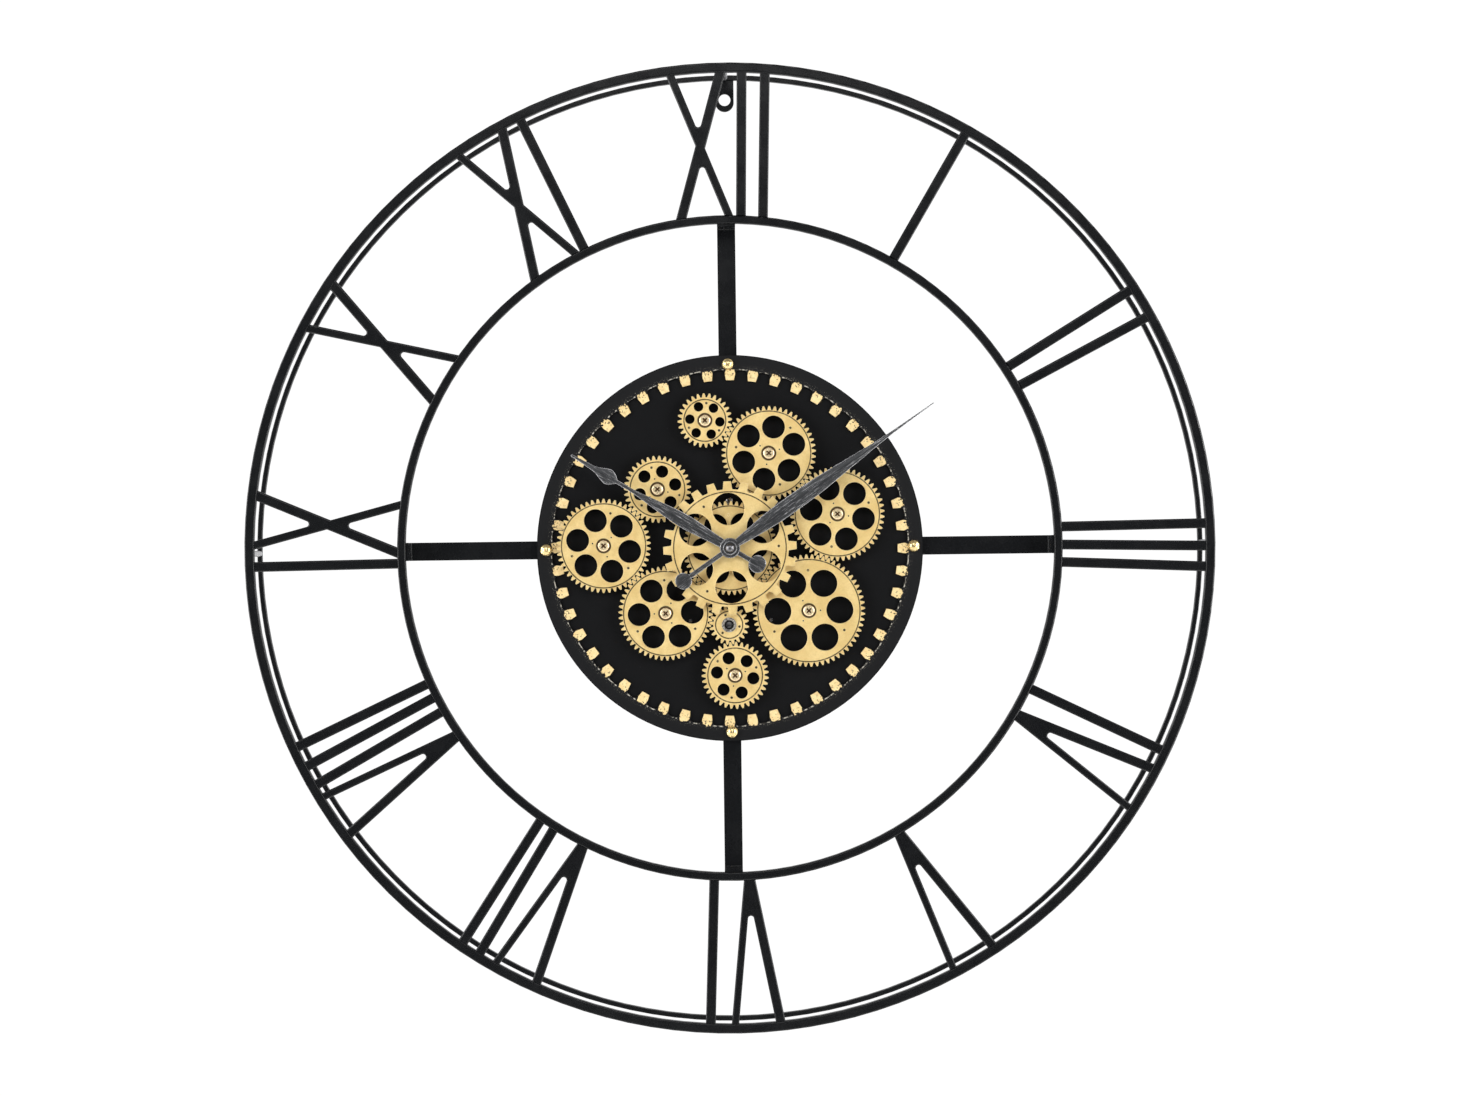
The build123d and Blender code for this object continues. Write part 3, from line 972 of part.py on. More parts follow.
with BuildPart() as drive_motor:
    motor_front = MOTOR_BACK + MOTOR_LONG
    disc(MOTOR_BACK, MOTOR_LONG, MOTOR_RADIUS, at=MOTOR_AT)
    fillet(drive_motor.edges().filter_by(GeomType.CIRCLE), MOTOR_ROUND)
    disc(motor_front, MOTOR_NOSE, MOTOR_NOSE_RADIUS, at=MOTOR_AT)
    bore_long = motor_front + MOTOR_NOSE - MOTOR_BORE_BACK
    disc(MOTOR_BORE_BACK, bore_long, MOTOR_SHAFT + SHAFT_CLEARANCE, Mode.SUBTRACT, MOTOR_AT)
drive_motor.part.label = "drive_motor"
export_step(drive_motor.part, "parts/drive_motor.step")

OUTPUT_TURN = 0.0
REDUCTION_TURN = meshed_turn(OUTPUT_TEETH, OUTPUT_TURN, REDUCTION_DIRECTION, SMALL_PINION_TEETH)
MOTOR_TURN = meshed_turn(REDUCTION_TEETH, 0.0, MOTOR_DIRECTION, SMALL_PINION_TEETH)

with BuildPart() as motor_pinion:
    disc(MOTOR_SHAFT_BACK, MOTOR_SHAFT_LONG, MOTOR_SHAFT, at=MOTOR_AT)
    spur(MOTOR_PINION_BACK, MOTOR_PINION_LONG, SMALL_PINION_TEETH, DRIVE_MODULE, MOTOR_TURN, MOTOR_AT)
motor_pinion.part.label = "motor_pinion"
export_step(motor_pinion.part, "parts/motor_pinion.step")

with BuildPart() as reduction_gear:
    disc(SHAFT_BACK, REDUCTION_LONG, REDUCTION_SHAFT, at=REDUCTION_AT)
    spur(REDUCTION_GEAR_BACK, REDUCTION_GEAR_THICK, REDUCTION_TEETH, DRIVE_MODULE, 0.0, REDUCTION_AT)
    spur(REDUCTION_GEAR_BACK + REDUCTION_GEAR_THICK, REDUCTION_PINION_LONG, SMALL_PINION_TEETH,
         DRIVE_MODULE, REDUCTION_TURN, REDUCTION_AT)
reduction_gear.part.label = "reduction_gear"
export_step(reduction_gear.part, "parts/reduction_gear.step")

with BuildPart() as drive_shaft:
    disc(SHAFT_BACK, OUTPUT_STEP - SHAFT_BACK, OUTPUT_JOURNAL, at=OUTPUT_AT)
    disc(OUTPUT_STEP, OUTPUT_FRONT - OUTPUT_STEP, OUTPUT_SHAFT, at=OUTPUT_AT)
    spur(OUTPUT_GEAR_BACK, OUTPUT_GEAR_THICK, OUTPUT_TEETH, DRIVE_MODULE, OUTPUT_TURN, OUTPUT_AT)
drive_shaft.part.label = "drive_shaft"
export_step(drive_shaft.part, "parts/drive_shaft.step")
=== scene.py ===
"""Looks for the skeleton wall clock: studio, camera, materials and the pieces that Blender adds.

Everything is in the clock's own frame: the wall is at Y = 0, the clock faces -Y, and Z is up. Sizes are in
metres unless they say mm. Clock angles run clockwise from twelve in degrees, as seen from the front.
"""
import math

import bmesh
import bpy
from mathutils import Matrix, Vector


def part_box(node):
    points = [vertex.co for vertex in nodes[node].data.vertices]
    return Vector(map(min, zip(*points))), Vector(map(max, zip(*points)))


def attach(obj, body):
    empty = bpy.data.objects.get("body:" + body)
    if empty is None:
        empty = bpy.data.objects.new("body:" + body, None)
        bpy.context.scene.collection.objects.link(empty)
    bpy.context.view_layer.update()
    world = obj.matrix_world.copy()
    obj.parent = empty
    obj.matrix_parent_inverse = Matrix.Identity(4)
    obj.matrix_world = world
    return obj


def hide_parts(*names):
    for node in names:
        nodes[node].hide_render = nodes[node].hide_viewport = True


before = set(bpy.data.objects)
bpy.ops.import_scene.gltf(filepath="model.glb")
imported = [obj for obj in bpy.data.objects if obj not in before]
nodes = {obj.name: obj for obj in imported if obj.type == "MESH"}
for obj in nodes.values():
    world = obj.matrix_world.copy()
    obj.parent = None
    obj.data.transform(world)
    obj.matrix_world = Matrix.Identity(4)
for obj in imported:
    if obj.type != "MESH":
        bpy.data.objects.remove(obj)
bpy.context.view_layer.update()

MM = 0.001

# ---------------------------------------------------------------- places read from the frame
RING_LOW, RING_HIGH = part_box("front_ring")
AXIS_X = (RING_LOW.x + RING_HIGH.x) / 2
AXIS_Z = (RING_LOW.z + RING_HIGH.z) / 2
FRONT = RING_LOW.y
GEAR_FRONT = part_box("gear_right")[0].y
SCREW_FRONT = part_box("gear_screws")[0].y
CELL_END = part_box("batteries")[1].x

# ---------------------------------------------------------------- studio sizes
CAMERA_DISTANCE = 2.0  # in front of the clock
CAMERA_LENS = 59.92  # mm
CAMERA_ROLL = 0.7  # degrees
CAMERA_REACH = 50  # farthest distance drawn

# (start, full, strength at the start, strength when full): start and full are parts of the unit direction
# looked in, along Y for the glow behind, and along X to either side for the glow beside
GLOW_BEHIND = (-0.10, 0.45, 0.03, 0.80)
GLOW_BESIDE = (0.60, 0.95, 0.0, 0.35)
BACKDROP_STRENGTH = 1.05
WHITE = (1, 1, 1, 1)

LIGHTS = {  # name: (x and z from the axis, y from the clock's front), width, height, watts
    "left_box": ((-1.7, -1.1, 0.25), 0.9, 1.8, 34),
    "right_box": ((1.7, -1.1, 0.25), 0.9, 1.8, 34),
    "front_box": ((0.0, -2.2, 1.5), 1.6, 0.9, 22),
    "left_strip": ((-1.3, 0.15, 0.0), 0.5, 1.6, 22),
    "right_strip": ((1.3, 0.15, 0.0), 0.5, 1.6, 22),
}

FLOOR_RADIUS = 1.9
FLOOR_DROP = 0.95  # below the clock's axis
FLOOR_SIDES = 96

# ---------------------------------------------------------------- colours and marks of the finishes
GOLD = (0.800, 0.590, 0.262)
PALE_GOLD = (0.900, 0.745, 0.420)
DEEP_GOLD = (0.640, 0.430, 0.165)

RIM_TEETH = 48
RIM_TURN = 0.7  # clock angle of a tooth
RIM_ROOT = 0.1479  # radius where the teeth meet the rim
RIM_BLACK = (0.0060, 0.0062, 0.0070)

DIAL_BLACK = (0.0040, 0.0042, 0.0048)

GROOVE_RADII = {  # mm
    "centre_wheel": 46.4, "gear_lower_right": 42.3, "centre_gear": 34.8, "gear_lower_left": 34.8,
    "gear_right": 34.8, "gear_upper_right": 34.8, "gear_left": 34.8, "gear_upper_left": 22.6,
    "gear_bottom": 22.6, "gear_top": 17.3, "drive_pinion": 11.2,
}
SCREW_RECESS = 6.1 * MM
HUB_RADIUS, HUB_SOCKET = 6.1 * MM, 3.9 * MM  # the drive pinion's steel centre

# inner edge of the copper-coloured band, measured back from a cell's positive end
BAND_START, BAND_FULL = 0.0152, 0.0148

NODE_FINISHES = {
    "black": ["front_ring", "rear_ring", "inner_ring", "hanger_tab", "dial_spokes"]
    + [f"numeral_{hour:02d}" for hour in range(1, 13)],
    "dial": ["dial_plate"],
    "rim": ["ring_gear"],
    "screw": ["gear_screws"],
    "dome": ["dial_dome_nuts"],
    "steel": ["dial_bolts", "gear_posts", "centre_clip", "minute_arbor", "step_rotor",
              "battery_contacts", "fixing_screws", "drive_shaft"],
    "nut": ["hand_nut"],
    "bare": ["ring_standoffs", "drive_motor"],
    "brass": ["hour_wheel", "centre_bushing", "bushing_nut", "motor_pinion"],
    "plastic": ["movement_case", "movement_cover", "drive_case", "drive_cover"],
    "acetal": ["motion_wheel", "switch_slider", "reduction_gear"],
    "rubber": ["movement_gasket"],
    "winding": ["step_coil"],
    "board": ["circuit_board"],
    "cell": ["batteries"],
}

# ---------------------------------------------------------------- hands, in mm
# blades: (distance from the axis, half width); hubs: (radius, depth in front of the wall)
MINUTE_BLADE = [(0, 2.6), (17, 4.2), (42, 6.4), (66, 6.9), (92, 6.2), (125, 3.6), (158, 1.4), (206, 0.45)]
MINUTE_HUB = [(1.7, 47.7), (8.0, 47.7), (8.3, 48.0), (8.3, 49.3), (7.9, 49.7), (5.6, 49.9), (5.2, 50.2),
              (1.7, 50.2)]
HOUR_BLADE = [(0, 3.4), (20, 4.4), (36, 5.7), (50, 5.6), (69, 3.9), (90, 1.7), (108, 1.5)]
HOUR_LEAF = [(108, 1.5), (111.5, 4.4), (116, 6.4), (121, 5.1), (128, 2.5), (138, 1.6), (151, 0.9)]
HOUR_HUB = [(3.05, 45.0), (7.8, 45.0), (8.1, 45.3), (8.1, 46.9), (7.8, 47.2), (3.05, 47.2)]

BLADE_THINNEST = 0.35  # half widths
TAIL_STEM, TAIL_END = 1.9, 0.05
BLADE_EDGE = 0.7  # thickness at the sides
BLADE_CROWN = 1.2  # rise of the ridge above the sides
FULL_CROWN = 3.0  # half width from which the ridge has its full rise
CROWN_POWER = 1.7
BLADE_COLUMNS = 12
HUB_SIDES = 64
BLADE_SMOOTH, HUB_SMOOTH = 35, 30  # degrees up to which an edge looks smooth


# ---------------------------------------------------------------- node trees
class Nodes:
    """A node tree, with short names for what the studio and the clock's finishes share."""

    def __init__(self, tree):
        self.tree = tree

    def add(self, kind, inputs=None, **settings):
        """A node with its settings; an input that is a socket is linked, and any other is a value."""
        node = self.tree.nodes.new(kind)
        for name, value in settings.items():
            setattr(node, name, value)
        for name, value in (inputs or {}).items():
            if isinstance(value, bpy.types.NodeSocket):
                self.tree.links.new(value, node.inputs[name])
            else:
                node.inputs[name].default_value = value
        return node

    def parts(self, vector):
        """The X, Y and Z of a vector."""
        return self.add("ShaderNodeSeparateXYZ", {0: vector}).outputs

    def math(self, operation, first, second=0.0):
        return self.add("ShaderNodeMath", {0: first, 1: second}, operation=operation).outputs["Value"]

    def times(self, first, second):
        return self.math("MULTIPLY", first, second)

    def minus(self, first, second):
        return self.math("SUBTRACT", first, second)

    def step(self, value, low, high, start=0.0, end=1.0):
        """Runs smoothly from start to end while value goes from low to high."""
        inputs = {"Value": value, "From Min": low, "From Max": high, "To Min": start, "To Max": end}
        return self.add("ShaderNodeMapRange", inputs, interpolation_type="SMOOTHSTEP").outputs["Result"]

    def band(self, value, start, full, fading, end):
        """1 while value is between full and fading, and falling smoothly to 0 at start and end."""
        return self.times(self.step(value, start, full), self.step(value, end, fading))


class Look(Nodes):
    """A node-based material for one finish."""

    def __init__(self, name, color, roughness, metallic=0.0, specular=0.5):
        self.material = bpy.data.materials.new(name)
        self.material.use_nodes = True
        super().__init__(self.material.node_tree)
        self.shader = self.tree.nodes["Principled BSDF"]
        self.shader.inputs["Base Color"].default_value = (*color, 1)
        self.shader.inputs["Roughness"].default_value = roughness
        self.shader.inputs["Metallic"].default_value = metallic
        self.shader.inputs["Specular IOR Level"].default_value = specular
        self.place = self.add("ShaderNodeTexCoord").outputs["Object"]

    def noise(self, scale, detail=3.0, place=None, roughness=0.55):
        inputs = {"Vector": place or self.place, "Scale": scale, "Detail": detail, "Roughness": roughness}
        return self.add("ShaderNodeTexNoise", inputs).outputs["Fac"]

    def turned(self, angle, scale):
        """The object's coordinates turned about Y, so that X runs along angle, and then scaled."""
        turn = self.add("ShaderNodeMapping", {"Vector": self.place, "Rotation": (0, angle, 0)})
        return self.add("ShaderNodeMapping", {"Vector": turn.outputs[0], "Scale": scale}).outputs[0]

    def mix(self, factor, first, second):
        """A colour between first and second, each a socket or an (r, g, b)."""
        inputs = {0: factor}
        for socket, value in ((6, first), (7, second)):
            inputs[socket] = value if isinstance(value, bpy.types.NodeSocket) else (*value, 1)
        return self.add("ShaderNodeMix", inputs, data_type="RGBA").outputs[2]

    def color(self, value):
        self.tree.links.new(value, self.shader.inputs["Base Color"])

    def roughness(self, value):
        self.tree.links.new(value, self.shader.inputs["Roughness"])

    def polish(self, scale, low, high):
        """Roughness that wanders between low and high."""
        self.roughness(self.step(self.noise(scale), 0.3, 0.7, low, high))

    def bump(self, height, distance, strength):
        node = self.add("ShaderNodeBump", {"Height": height, "Distance": distance, "Strength": strength})
        self.tree.links.new(node.outputs["Normal"], self.shader.inputs["Normal"])

    def grain(self, scale, distance, strength):
        """An even, fine relief."""
        self.bump(self.noise(scale, 2), distance, strength)

    def edge(self, radius):
        """1 along the sharp edges of the piece, falling to 0 about radius away."""
        rounded = self.add("ShaderNodeBevel", {"Radius": radius}, samples=4).outputs["Normal"]
        plain = self.add("ShaderNodeNewGeometry").outputs["Normal"]
        dot = self.add("ShaderNodeVectorMath", {0: rounded, 1: plain}, operation="DOT_PRODUCT")
        return self.step(dot.outputs["Value"], 0.995, 0.80)

    def facing_front(self):
        """1 where the surface faces the front, 0 on side walls and -1 where it faces the wall."""
        normal = self.add("ShaderNodeNewGeometry").outputs["Normal"]
        return self.times(self.parts(normal)["Y"], -1.0)

    def from_axis(self):
        """(distance from the clock's axis, x, z), all measured from the axis."""
        axis = (AXIS_X, 0, AXIS_Z)
        place = self.add("ShaderNodeVectorMath", {0: self.place, 1: axis}, operation="SUBTRACT")
        parts = self.parts(place.outputs[0])
        x, z = parts["X"], parts["Z"]
        squares = self.math("ADD", self.times(x, x), self.times(z, z))
        return self.math("SQRT", squares), x, z


# ---------------------------------------------------------------- studio
def link_to_scene(name, data):
    """A new object in the scene."""
    made = bpy.data.objects.new(name, data)
    bpy.context.scene.collection.objects.link(made)
    return made


def make_camera():
    """A camera square to the clock, on its axis, rolled a little as the clock hangs."""
    data = bpy.data.cameras.new("camera")
    data.lens = CAMERA_LENS
    data.clip_end = CAMERA_REACH
    camera = link_to_scene("camera", data)
    camera.location = (AXIS_X, FRONT - CAMERA_DISTANCE, AXIS_Z)
    camera.rotation_euler = (math.radians(90), math.radians(CAMERA_ROLL), 0)
    bpy.context.scene.camera = camera


def make_world():
    """A white studio, dim in front of the clock and bright behind and beside it, on a white backdrop."""
    world = bpy.data.worlds.new("studio")
    bpy.context.scene.world = world
    world.use_nodes = True
    studio = Nodes(world.node_tree)
    direction = studio.parts(studio.add("ShaderNodeTexCoord").outputs["Generated"])
    behind = studio.step(direction["Y"], *GLOW_BEHIND)
    beside = studio.step(studio.math("ABSOLUTE", direction["X"]), *GLOW_BESIDE)
    room = studio.tree.nodes["Background"]
    room.inputs["Color"].default_value = WHITE
    studio.tree.links.new(studio.math("ADD", behind, beside), room.inputs["Strength"])
    backdrop = studio.add("ShaderNodeBackground", {"Color": WHITE, "Strength": BACKDROP_STRENGTH})
    seen = studio.add("ShaderNodeLightPath").outputs["Is Camera Ray"]
    choose = studio.add("ShaderNodeMixShader",
                        {0: seen, 1: room.outputs["Background"], 2: backdrop.outputs["Background"]})
    studio.tree.links.new(choose.outputs["Shader"], studio.tree.nodes["World Output"].inputs["Surface"])


def make_lights():
    """Large soft boxes, each turned to the clock's axis."""
    for name, ((x, y, z), width, height, watts) in LIGHTS.items():
        data = bpy.data.lights.new(name, "AREA")
        data.shape = "RECTANGLE"
        data.size, data.size_y = width, height
        data.energy = watts
        light = link_to_scene(name, data)
        light.location = (AXIS_X + x, FRONT + y, AXIS_Z + z)
        towards = Vector((AXIS_X, FRONT, AXIS_Z)) - light.location
        light.rotation_euler = towards.to_track_quat("-Z", "Y").to_euler()


def make_floor():
    """A pale round floor well below the clock."""
    shape = bmesh.new()
    bmesh.ops.create_circle(shape, cap_ends=True, segments=FLOOR_SIDES, radius=FLOOR_RADIUS)
    mesh = bpy.data.meshes.new("floor")
    shape.to_mesh(mesh)
    shape.free()
    floor = link_to_scene("floor", mesh)
    floor.location = (AXIS_X, 0, AXIS_Z - FLOOR_DROP)
    floor.data.materials.append(Look("studio_floor", (0.86, 0.86, 0.85), 0.75).material)


# ---------------------------------------------------------------- materials
def shades(color, spread):
    """A darker and a paler colour, spread on each side of color."""
    return tuple(c * (1 - spread) for c in color), tuple(min(1, c * (1 + spread)) for c in color)


def black_metal():
    """Satin black powder coat with a fine orange-peel surface."""
    look = Look("black_powder_coat", (0.0066, 0.0070, 0.0078), 0.26, specular=0.24)
    look.color(look.mix(look.noise(22, 4), (0.0056, 0.0060, 0.0068), (0.0078, 0.0082, 0.0091)))
    look.polish(60, 0.22, 0.32)
    look.grain(1400, 0.00003, 0.4)
    return look.material


def dial_black():
    """Matt black sheet metal with faint dust."""
    look = Look("dial_black", DIAL_BLACK, 0.60, specular=0.10)
    dust = look.step(look.noise(900, 1), 0.80, 0.84)
    look.color(look.mix(dust, DIAL_BLACK, (0.05, 0.05, 0.052)))
    look.polish(70, 0.54, 0.68)
    look.grain(1600, 0.00004, 0.4)
    return look.material


def toothed_rim():
    """Black rim whose teeth are painted gold, with a ragged edge, chips and a painted highlight line along
    the roots.
    """
    root_highlight, fleck_metal = (0.50, 0.47, 0.40), (0.30, 0.28, 0.23)
    look = Look("toothed_rim", RIM_BLACK, 0.5, specular=0.18)
    distance, x, z = look.from_axis()
    from_tooth = look.minus(look.math("ARCTAN2", x, z), math.radians(RIM_TURN))
    wave = look.math("COSINE", look.times(from_tooth, RIM_TEETH))  # 1 on a tooth, -1 in a gap

    # gold paint: out to the root on a tooth and less far in a gap, chipped most near the root
    reach = look.step(wave, -0.15, 0.55, RIM_ROOT - 0.0052, RIM_ROOT + 0.0002)
    ragged = look.times(look.minus(look.noise(420, 4), 0.5), 0.0070)
    painted = look.step(look.minus(look.math("ADD", reach, ragged), distance), -0.00012, 0.00012)
    chips = look.step(look.noise(560, 4), 0.57, 0.61)
    near_root = look.step(distance, RIM_ROOT - 0.0075, RIM_ROOT - 0.0015, 0.15, 1.0)
    gold = look.times(painted, look.minus(1.0, look.times(chips, near_root)))
    color = look.mix(gold, RIM_BLACK, look.mix(look.noise(260), DEEP_GOLD, PALE_GOLD))

    # a broken painted highlight line along the roots between the teeth, and flecks outside it
    line = look.band(distance, RIM_ROOT - 0.0004, RIM_ROOT + 0.0001, RIM_ROOT + 0.0004, RIM_ROOT + 0.0010)
    broken = look.times(look.step(wave, 0.1, -0.3), look.step(look.noise(520, 2), 0.46, 0.60))
    # painted highlight: a pale line along the roots in the gaps
    color = look.mix(look.times(line, broken), color, root_highlight)
    outside = look.band(distance, RIM_ROOT, RIM_ROOT + 0.0005, RIM_ROOT + 0.0015, RIM_ROOT + 0.0050)
    flecks = look.times(look.step(look.noise(1500, 1), 0.66, 0.69), outside)
    look.color(look.mix(flecks, color, fleck_metal))

    look.roughness(look.step(gold, 0, 1, 0.52, 0.40))
    look.bump(look.math("ADD", look.times(gold, 0.5), look.noise(1300, 2)), 0.00006, 0.5)
    return look.material


def screw_recess(look, distance, color):
    """color, with painted shade in the recess round the screw in the middle of a gear."""
    # painted shade: the recess round the screw darkened to brown
    recess = look.step(distance, SCREW_RECESS + 0.0003, SCREW_RECESS)
    return look.mix(look.times(recess, 0.85), color, (0.045, 0.030, 0.016))


def steel_hub(look, distance, color):
    """color, with the drive pinion's steel centre and painted shade for its socket."""
    steel = look.step(distance, HUB_RADIUS + 0.0001, HUB_RADIUS - 0.0001)
    # painted shade: the socket filled in near black
    socket = look.step(distance, HUB_SOCKET + 0.0002, HUB_SOCKET - 0.0002)
    speckled = look.mix(look.step(look.noise(700), 0.4, 0.6), (0.10, 0.095, 0.085), (0.42, 0.40, 0.36))
    return look.mix(steel, color, look.mix(socket, speckled, (0.008, 0.008, 0.008)))


def gold_metal(name, node, groove_radius, front_face, centre_finish):
    """Satin champagne gold with a soft mottle, with a painted highlight on its edges and painted shade on
    its side walls and in its groove.

    groove_radius is in mm, and centre_finish paints the middle of the gear.
    """
    side_wall_shade, highlight_gold, groove_shade = (0.42, 0.26, 0.10), (1.0, 0.90, 0.62), (0.070, 0.048, 0.022)
    low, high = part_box(node)
    centre = ((low.x + high.x) / 2, 0, (low.z + high.z) / 2)
    look = Look(name, GOLD, 0.40, metallic=0.35)
    parts = look.parts(look.place)
    forward = look.facing_front()
    flat_front = look.step(forward, 0.75, 0.92)

    clouds = look.step(look.noise(75, 5), 0.30, 0.72)
    color = look.mix(clouds, (0.790, 0.570, 0.225), (0.900, 0.690, 0.310))
    color = look.mix(look.step(look.noise(900), 0.35, 0.75, 0.0, 0.30), color, DEEP_GOLD)
    # painted shade: the side walls, turned away from the front, darkened towards brown
    side_wall = look.step(forward, 0.55, 0.25)
    color = look.mix(look.times(side_wall, 0.55), color, side_wall_shade)
    # painted highlight: the sharp edges that face the front turned pale gold
    pale_edge = look.times(look.edge(0.00045), look.step(forward, 0.3, 0.9, 0.1, 0.85))
    color = look.mix(pale_edge, color, highlight_gold)

    # painted shade in the sunk groove and along its line
    depth = look.minus(parts["Y"], front_face)
    groove = look.times(look.band(depth, 0.00012, 0.00024, 0.00065, 0.00080), flat_front)
    in_plane = look.add("ShaderNodeCombineXYZ", {0: parts["X"], 2: parts["Z"]}).outputs[0]
    away = look.add("ShaderNodeVectorMath", {0: in_plane, 1: centre}, operation="DISTANCE")
    distance = away.outputs["Value"]
    off_line = look.math("ABSOLUTE", look.minus(distance, groove_radius * MM))
    line = look.times(look.step(off_line, 0.00062, 0.00036), flat_front)
    patchy = look.step(look.noise(420, 2), 0.30, 0.46, 0.65, 1.0)
    # painted shade: the groove and its line darkened to brown, in patches
    color = look.mix(look.times(look.math("MAXIMUM", groove, line), patchy), color, groove_shade)

    look.color(centre_finish(look, distance, color))
    look.polish(300, 0.34, 0.48)
    look.grain(1500, 0.00005, 0.5)
    return look.material


def gold_screw():
    """Polished gold-coloured screw: bright round head, brown shade in the cross recess."""
    look = Look("gold_screw", (0.80, 0.62, 0.36), 0.30, metallic=0.45)
    recess = look.step(look.parts(look.place)["Y"], SCREW_FRONT + 0.0003, SCREW_FRONT + 0.0008)
    scratch = look.noise(1100)
    face = look.mix(scratch, (0.70, 0.50, 0.25), (1.00, 0.86, 0.58))
    look.color(look.mix(recess, face, (0.13, 0.060, 0.025)))
    look.roughness(look.step(scratch, 0.3, 0.7, 0.18, 0.34))
    look.bump(scratch, 0.00008, 0.5)
    return look.material


def dome_gold():
    """Polished gold dome nuts with a few dark pits."""
    look = Look("dome_gold", (0.82, 0.62, 0.28), 0.22, metallic=0.75)
    pits = look.step(look.noise(700), 0.62, 0.66)
    look.color(look.mix(pits, (0.82, 0.63, 0.30), (0.22, 0.14, 0.06)))
    look.polish(400, 0.18, 0.32)
    look.grain(500, 0.00010, 0.5)
    return look.material


def hand_metal(name, clock_angle):
    """Dark gunmetal, dry-brushed with silver along the hand, with a painted highlight on its edges."""
    look = Look(name, (0.06, 0.06, 0.064), 0.40, metallic=0.5)
    along = math.radians(clock_angle - 90)
    long_streaks = look.noise(1.0, 4, look.turned(-along, (45, 45, 1500)), 0.7)
    fine_streaks = look.noise(1.0, 3, look.turned(-along, (160, 160, 2600)), 0.7)
    streaks = look.times(look.step(long_streaks, 0.50, 0.66), look.step(fine_streaks, 0.44, 0.62))
    patches = look.step(look.noise(90, 4), 0.35, 0.65, 0.45, 1.0)
    silver = look.times(streaks, patches)
    gunmetal = look.mix(look.noise(240, 4), (0.016, 0.017, 0.019), (0.055, 0.057, 0.061))
    brushed = look.mix(silver, gunmetal, (0.66, 0.66, 0.68))
    # painted highlight: the edges turned near white
    look.color(look.mix(look.times(look.edge(0.0011), 0.95), brushed, (0.86, 0.86, 0.88)))
    look.roughness(look.step(silver, 0, 1, 0.46, 0.30))
    look.bump(long_streaks, 0.00008, 0.6)
    return look.material


def metal(name, color, roughness):
    """Bare metal with a slight grain and uneven polish."""
    grain, spread = 500, 0.2
    look = Look(name, color, roughness, metallic=1.0)
    look.color(look.mix(look.noise(grain, 4), *shades(color, spread)))
    look.polish(grain / 2, roughness * 0.8, roughness * 1.25)
    look.grain(grain * 2, 0.00005, 0.4)
    return look.material


def plastic(name, color, roughness, grain=1800, depth=0.00008, spread=0.12):
    """Moulded plastic with a spark-eroded texture, rubbed paler along its edges."""
    look = Look(name, color, roughness)
    tone = look.mix(look.noise(40, 4), *shades(color, spread))
    pale_edge = tuple(min(1, c * 1.8 + 0.01) for c in color)
    look.color(look.mix(look.times(look.edge(0.0004), 0.5), tone, pale_edge))
    look.polish(90, roughness * 0.88, min(1, roughness * 1.15))
    look.grain(grain, depth, 0.7)
    return look.material


def winding():
    """Enamelled copper wire wound side by side."""
    look = Look("copper_winding", (0.50, 0.20, 0.07), 0.30, metallic=0.85)
    wires = look.add("ShaderNodeTexWave", {"Vector": look.place, "Scale": 900.0, "Distortion": 0.4},
                     bands_direction="X").outputs["Fac"]
    look.color(look.mix(wires, (0.26, 0.09, 0.03), (0.62, 0.27, 0.10)))
    look.bump(wires, 0.00012, 0.8)
    return look.material


def board():
    """Green solder mask over faint copper tracks."""
    look = Look("circuit_board", (0.03, 0.16, 0.07), 0.32)
    tracks = look.add("ShaderNodeTexBrick", {"Vector": look.place, "Scale": 260.0, "Mortar Size": 0.03})
    look.color(look.mix(tracks.outputs["Fac"], (0.022, 0.135, 0.055), (0.05, 0.24, 0.10)))
    look.bump(tracks.outputs["Fac"], 0.00005, 0.6)
    return look.material


def cell():
    """Printed sleeve: dark blue body with a plain copper-coloured band at the positive end, no marks."""
    look = Look("cell_sleeve", (0.03, 0.07, 0.20), 0.34, metallic=0.4)
    band = look.step(look.parts(look.place)["X"], CELL_END - BAND_START, CELL_END - BAND_FULL)
    sleeve = look.mix(band, (0.025, 0.055, 0.16), (0.55, 0.29, 0.11))
    scuffs = look.step(look.noise(260, 4), 0.62, 0.70, 0.0, 0.35)
    look.color(look.mix(scuffs, sleeve, (0.30, 0.32, 0.36)))
    look.polish(90, 0.26, 0.42)
    return look.material


def paint(node, material):
    """Gives a CAD node its finish."""
    slots = nodes[node].data.materials
    slots.clear()
    slots.append(material)


def paint_nodes():
    """Every CAD node that stays gets its material."""
    finishes = {
        "black": black_metal(),
        "dial": dial_black(),
        "rim": toothed_rim(),
        "screw": gold_screw(),
        "dome": dome_gold(),
        "steel": metal("bright_steel", (0.56, 0.56, 0.58), 0.26),
        "nut": metal("dark_steel", (0.17, 0.17, 0.18), 0.30),
        "bare": metal("bare_steel", (0.50, 0.50, 0.51), 0.38),
        "brass": metal("turned_brass", (0.72, 0.55, 0.28), 0.28),
        "plastic": plastic("black_plastic", (0.016, 0.016, 0.017), 0.50),
        "acetal": plastic("white_plastic", (0.74, 0.73, 0.69), 0.42, grain=900, depth=0.00004, spread=0.04),
        "rubber": plastic("gasket_rubber", (0.018, 0.018, 0.018), 0.80),
        "winding": winding(),
        "board": board(),
        "cell": cell(),
    }
    for finish, members in NODE_FINISHES.items():
        for node in members:
            paint(node, finishes[finish])
    for node, groove_radius in GROOVE_RADII.items():
        if node == "drive_pinion":
            front_face, centre_finish = GEAR_FRONT, steel_hub
        else:
            front_face, centre_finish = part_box(node)[0].y, screw_recess
        paint(node, gold_metal(f"{node}_gold", node, groove_radius, front_face, centre_finish))


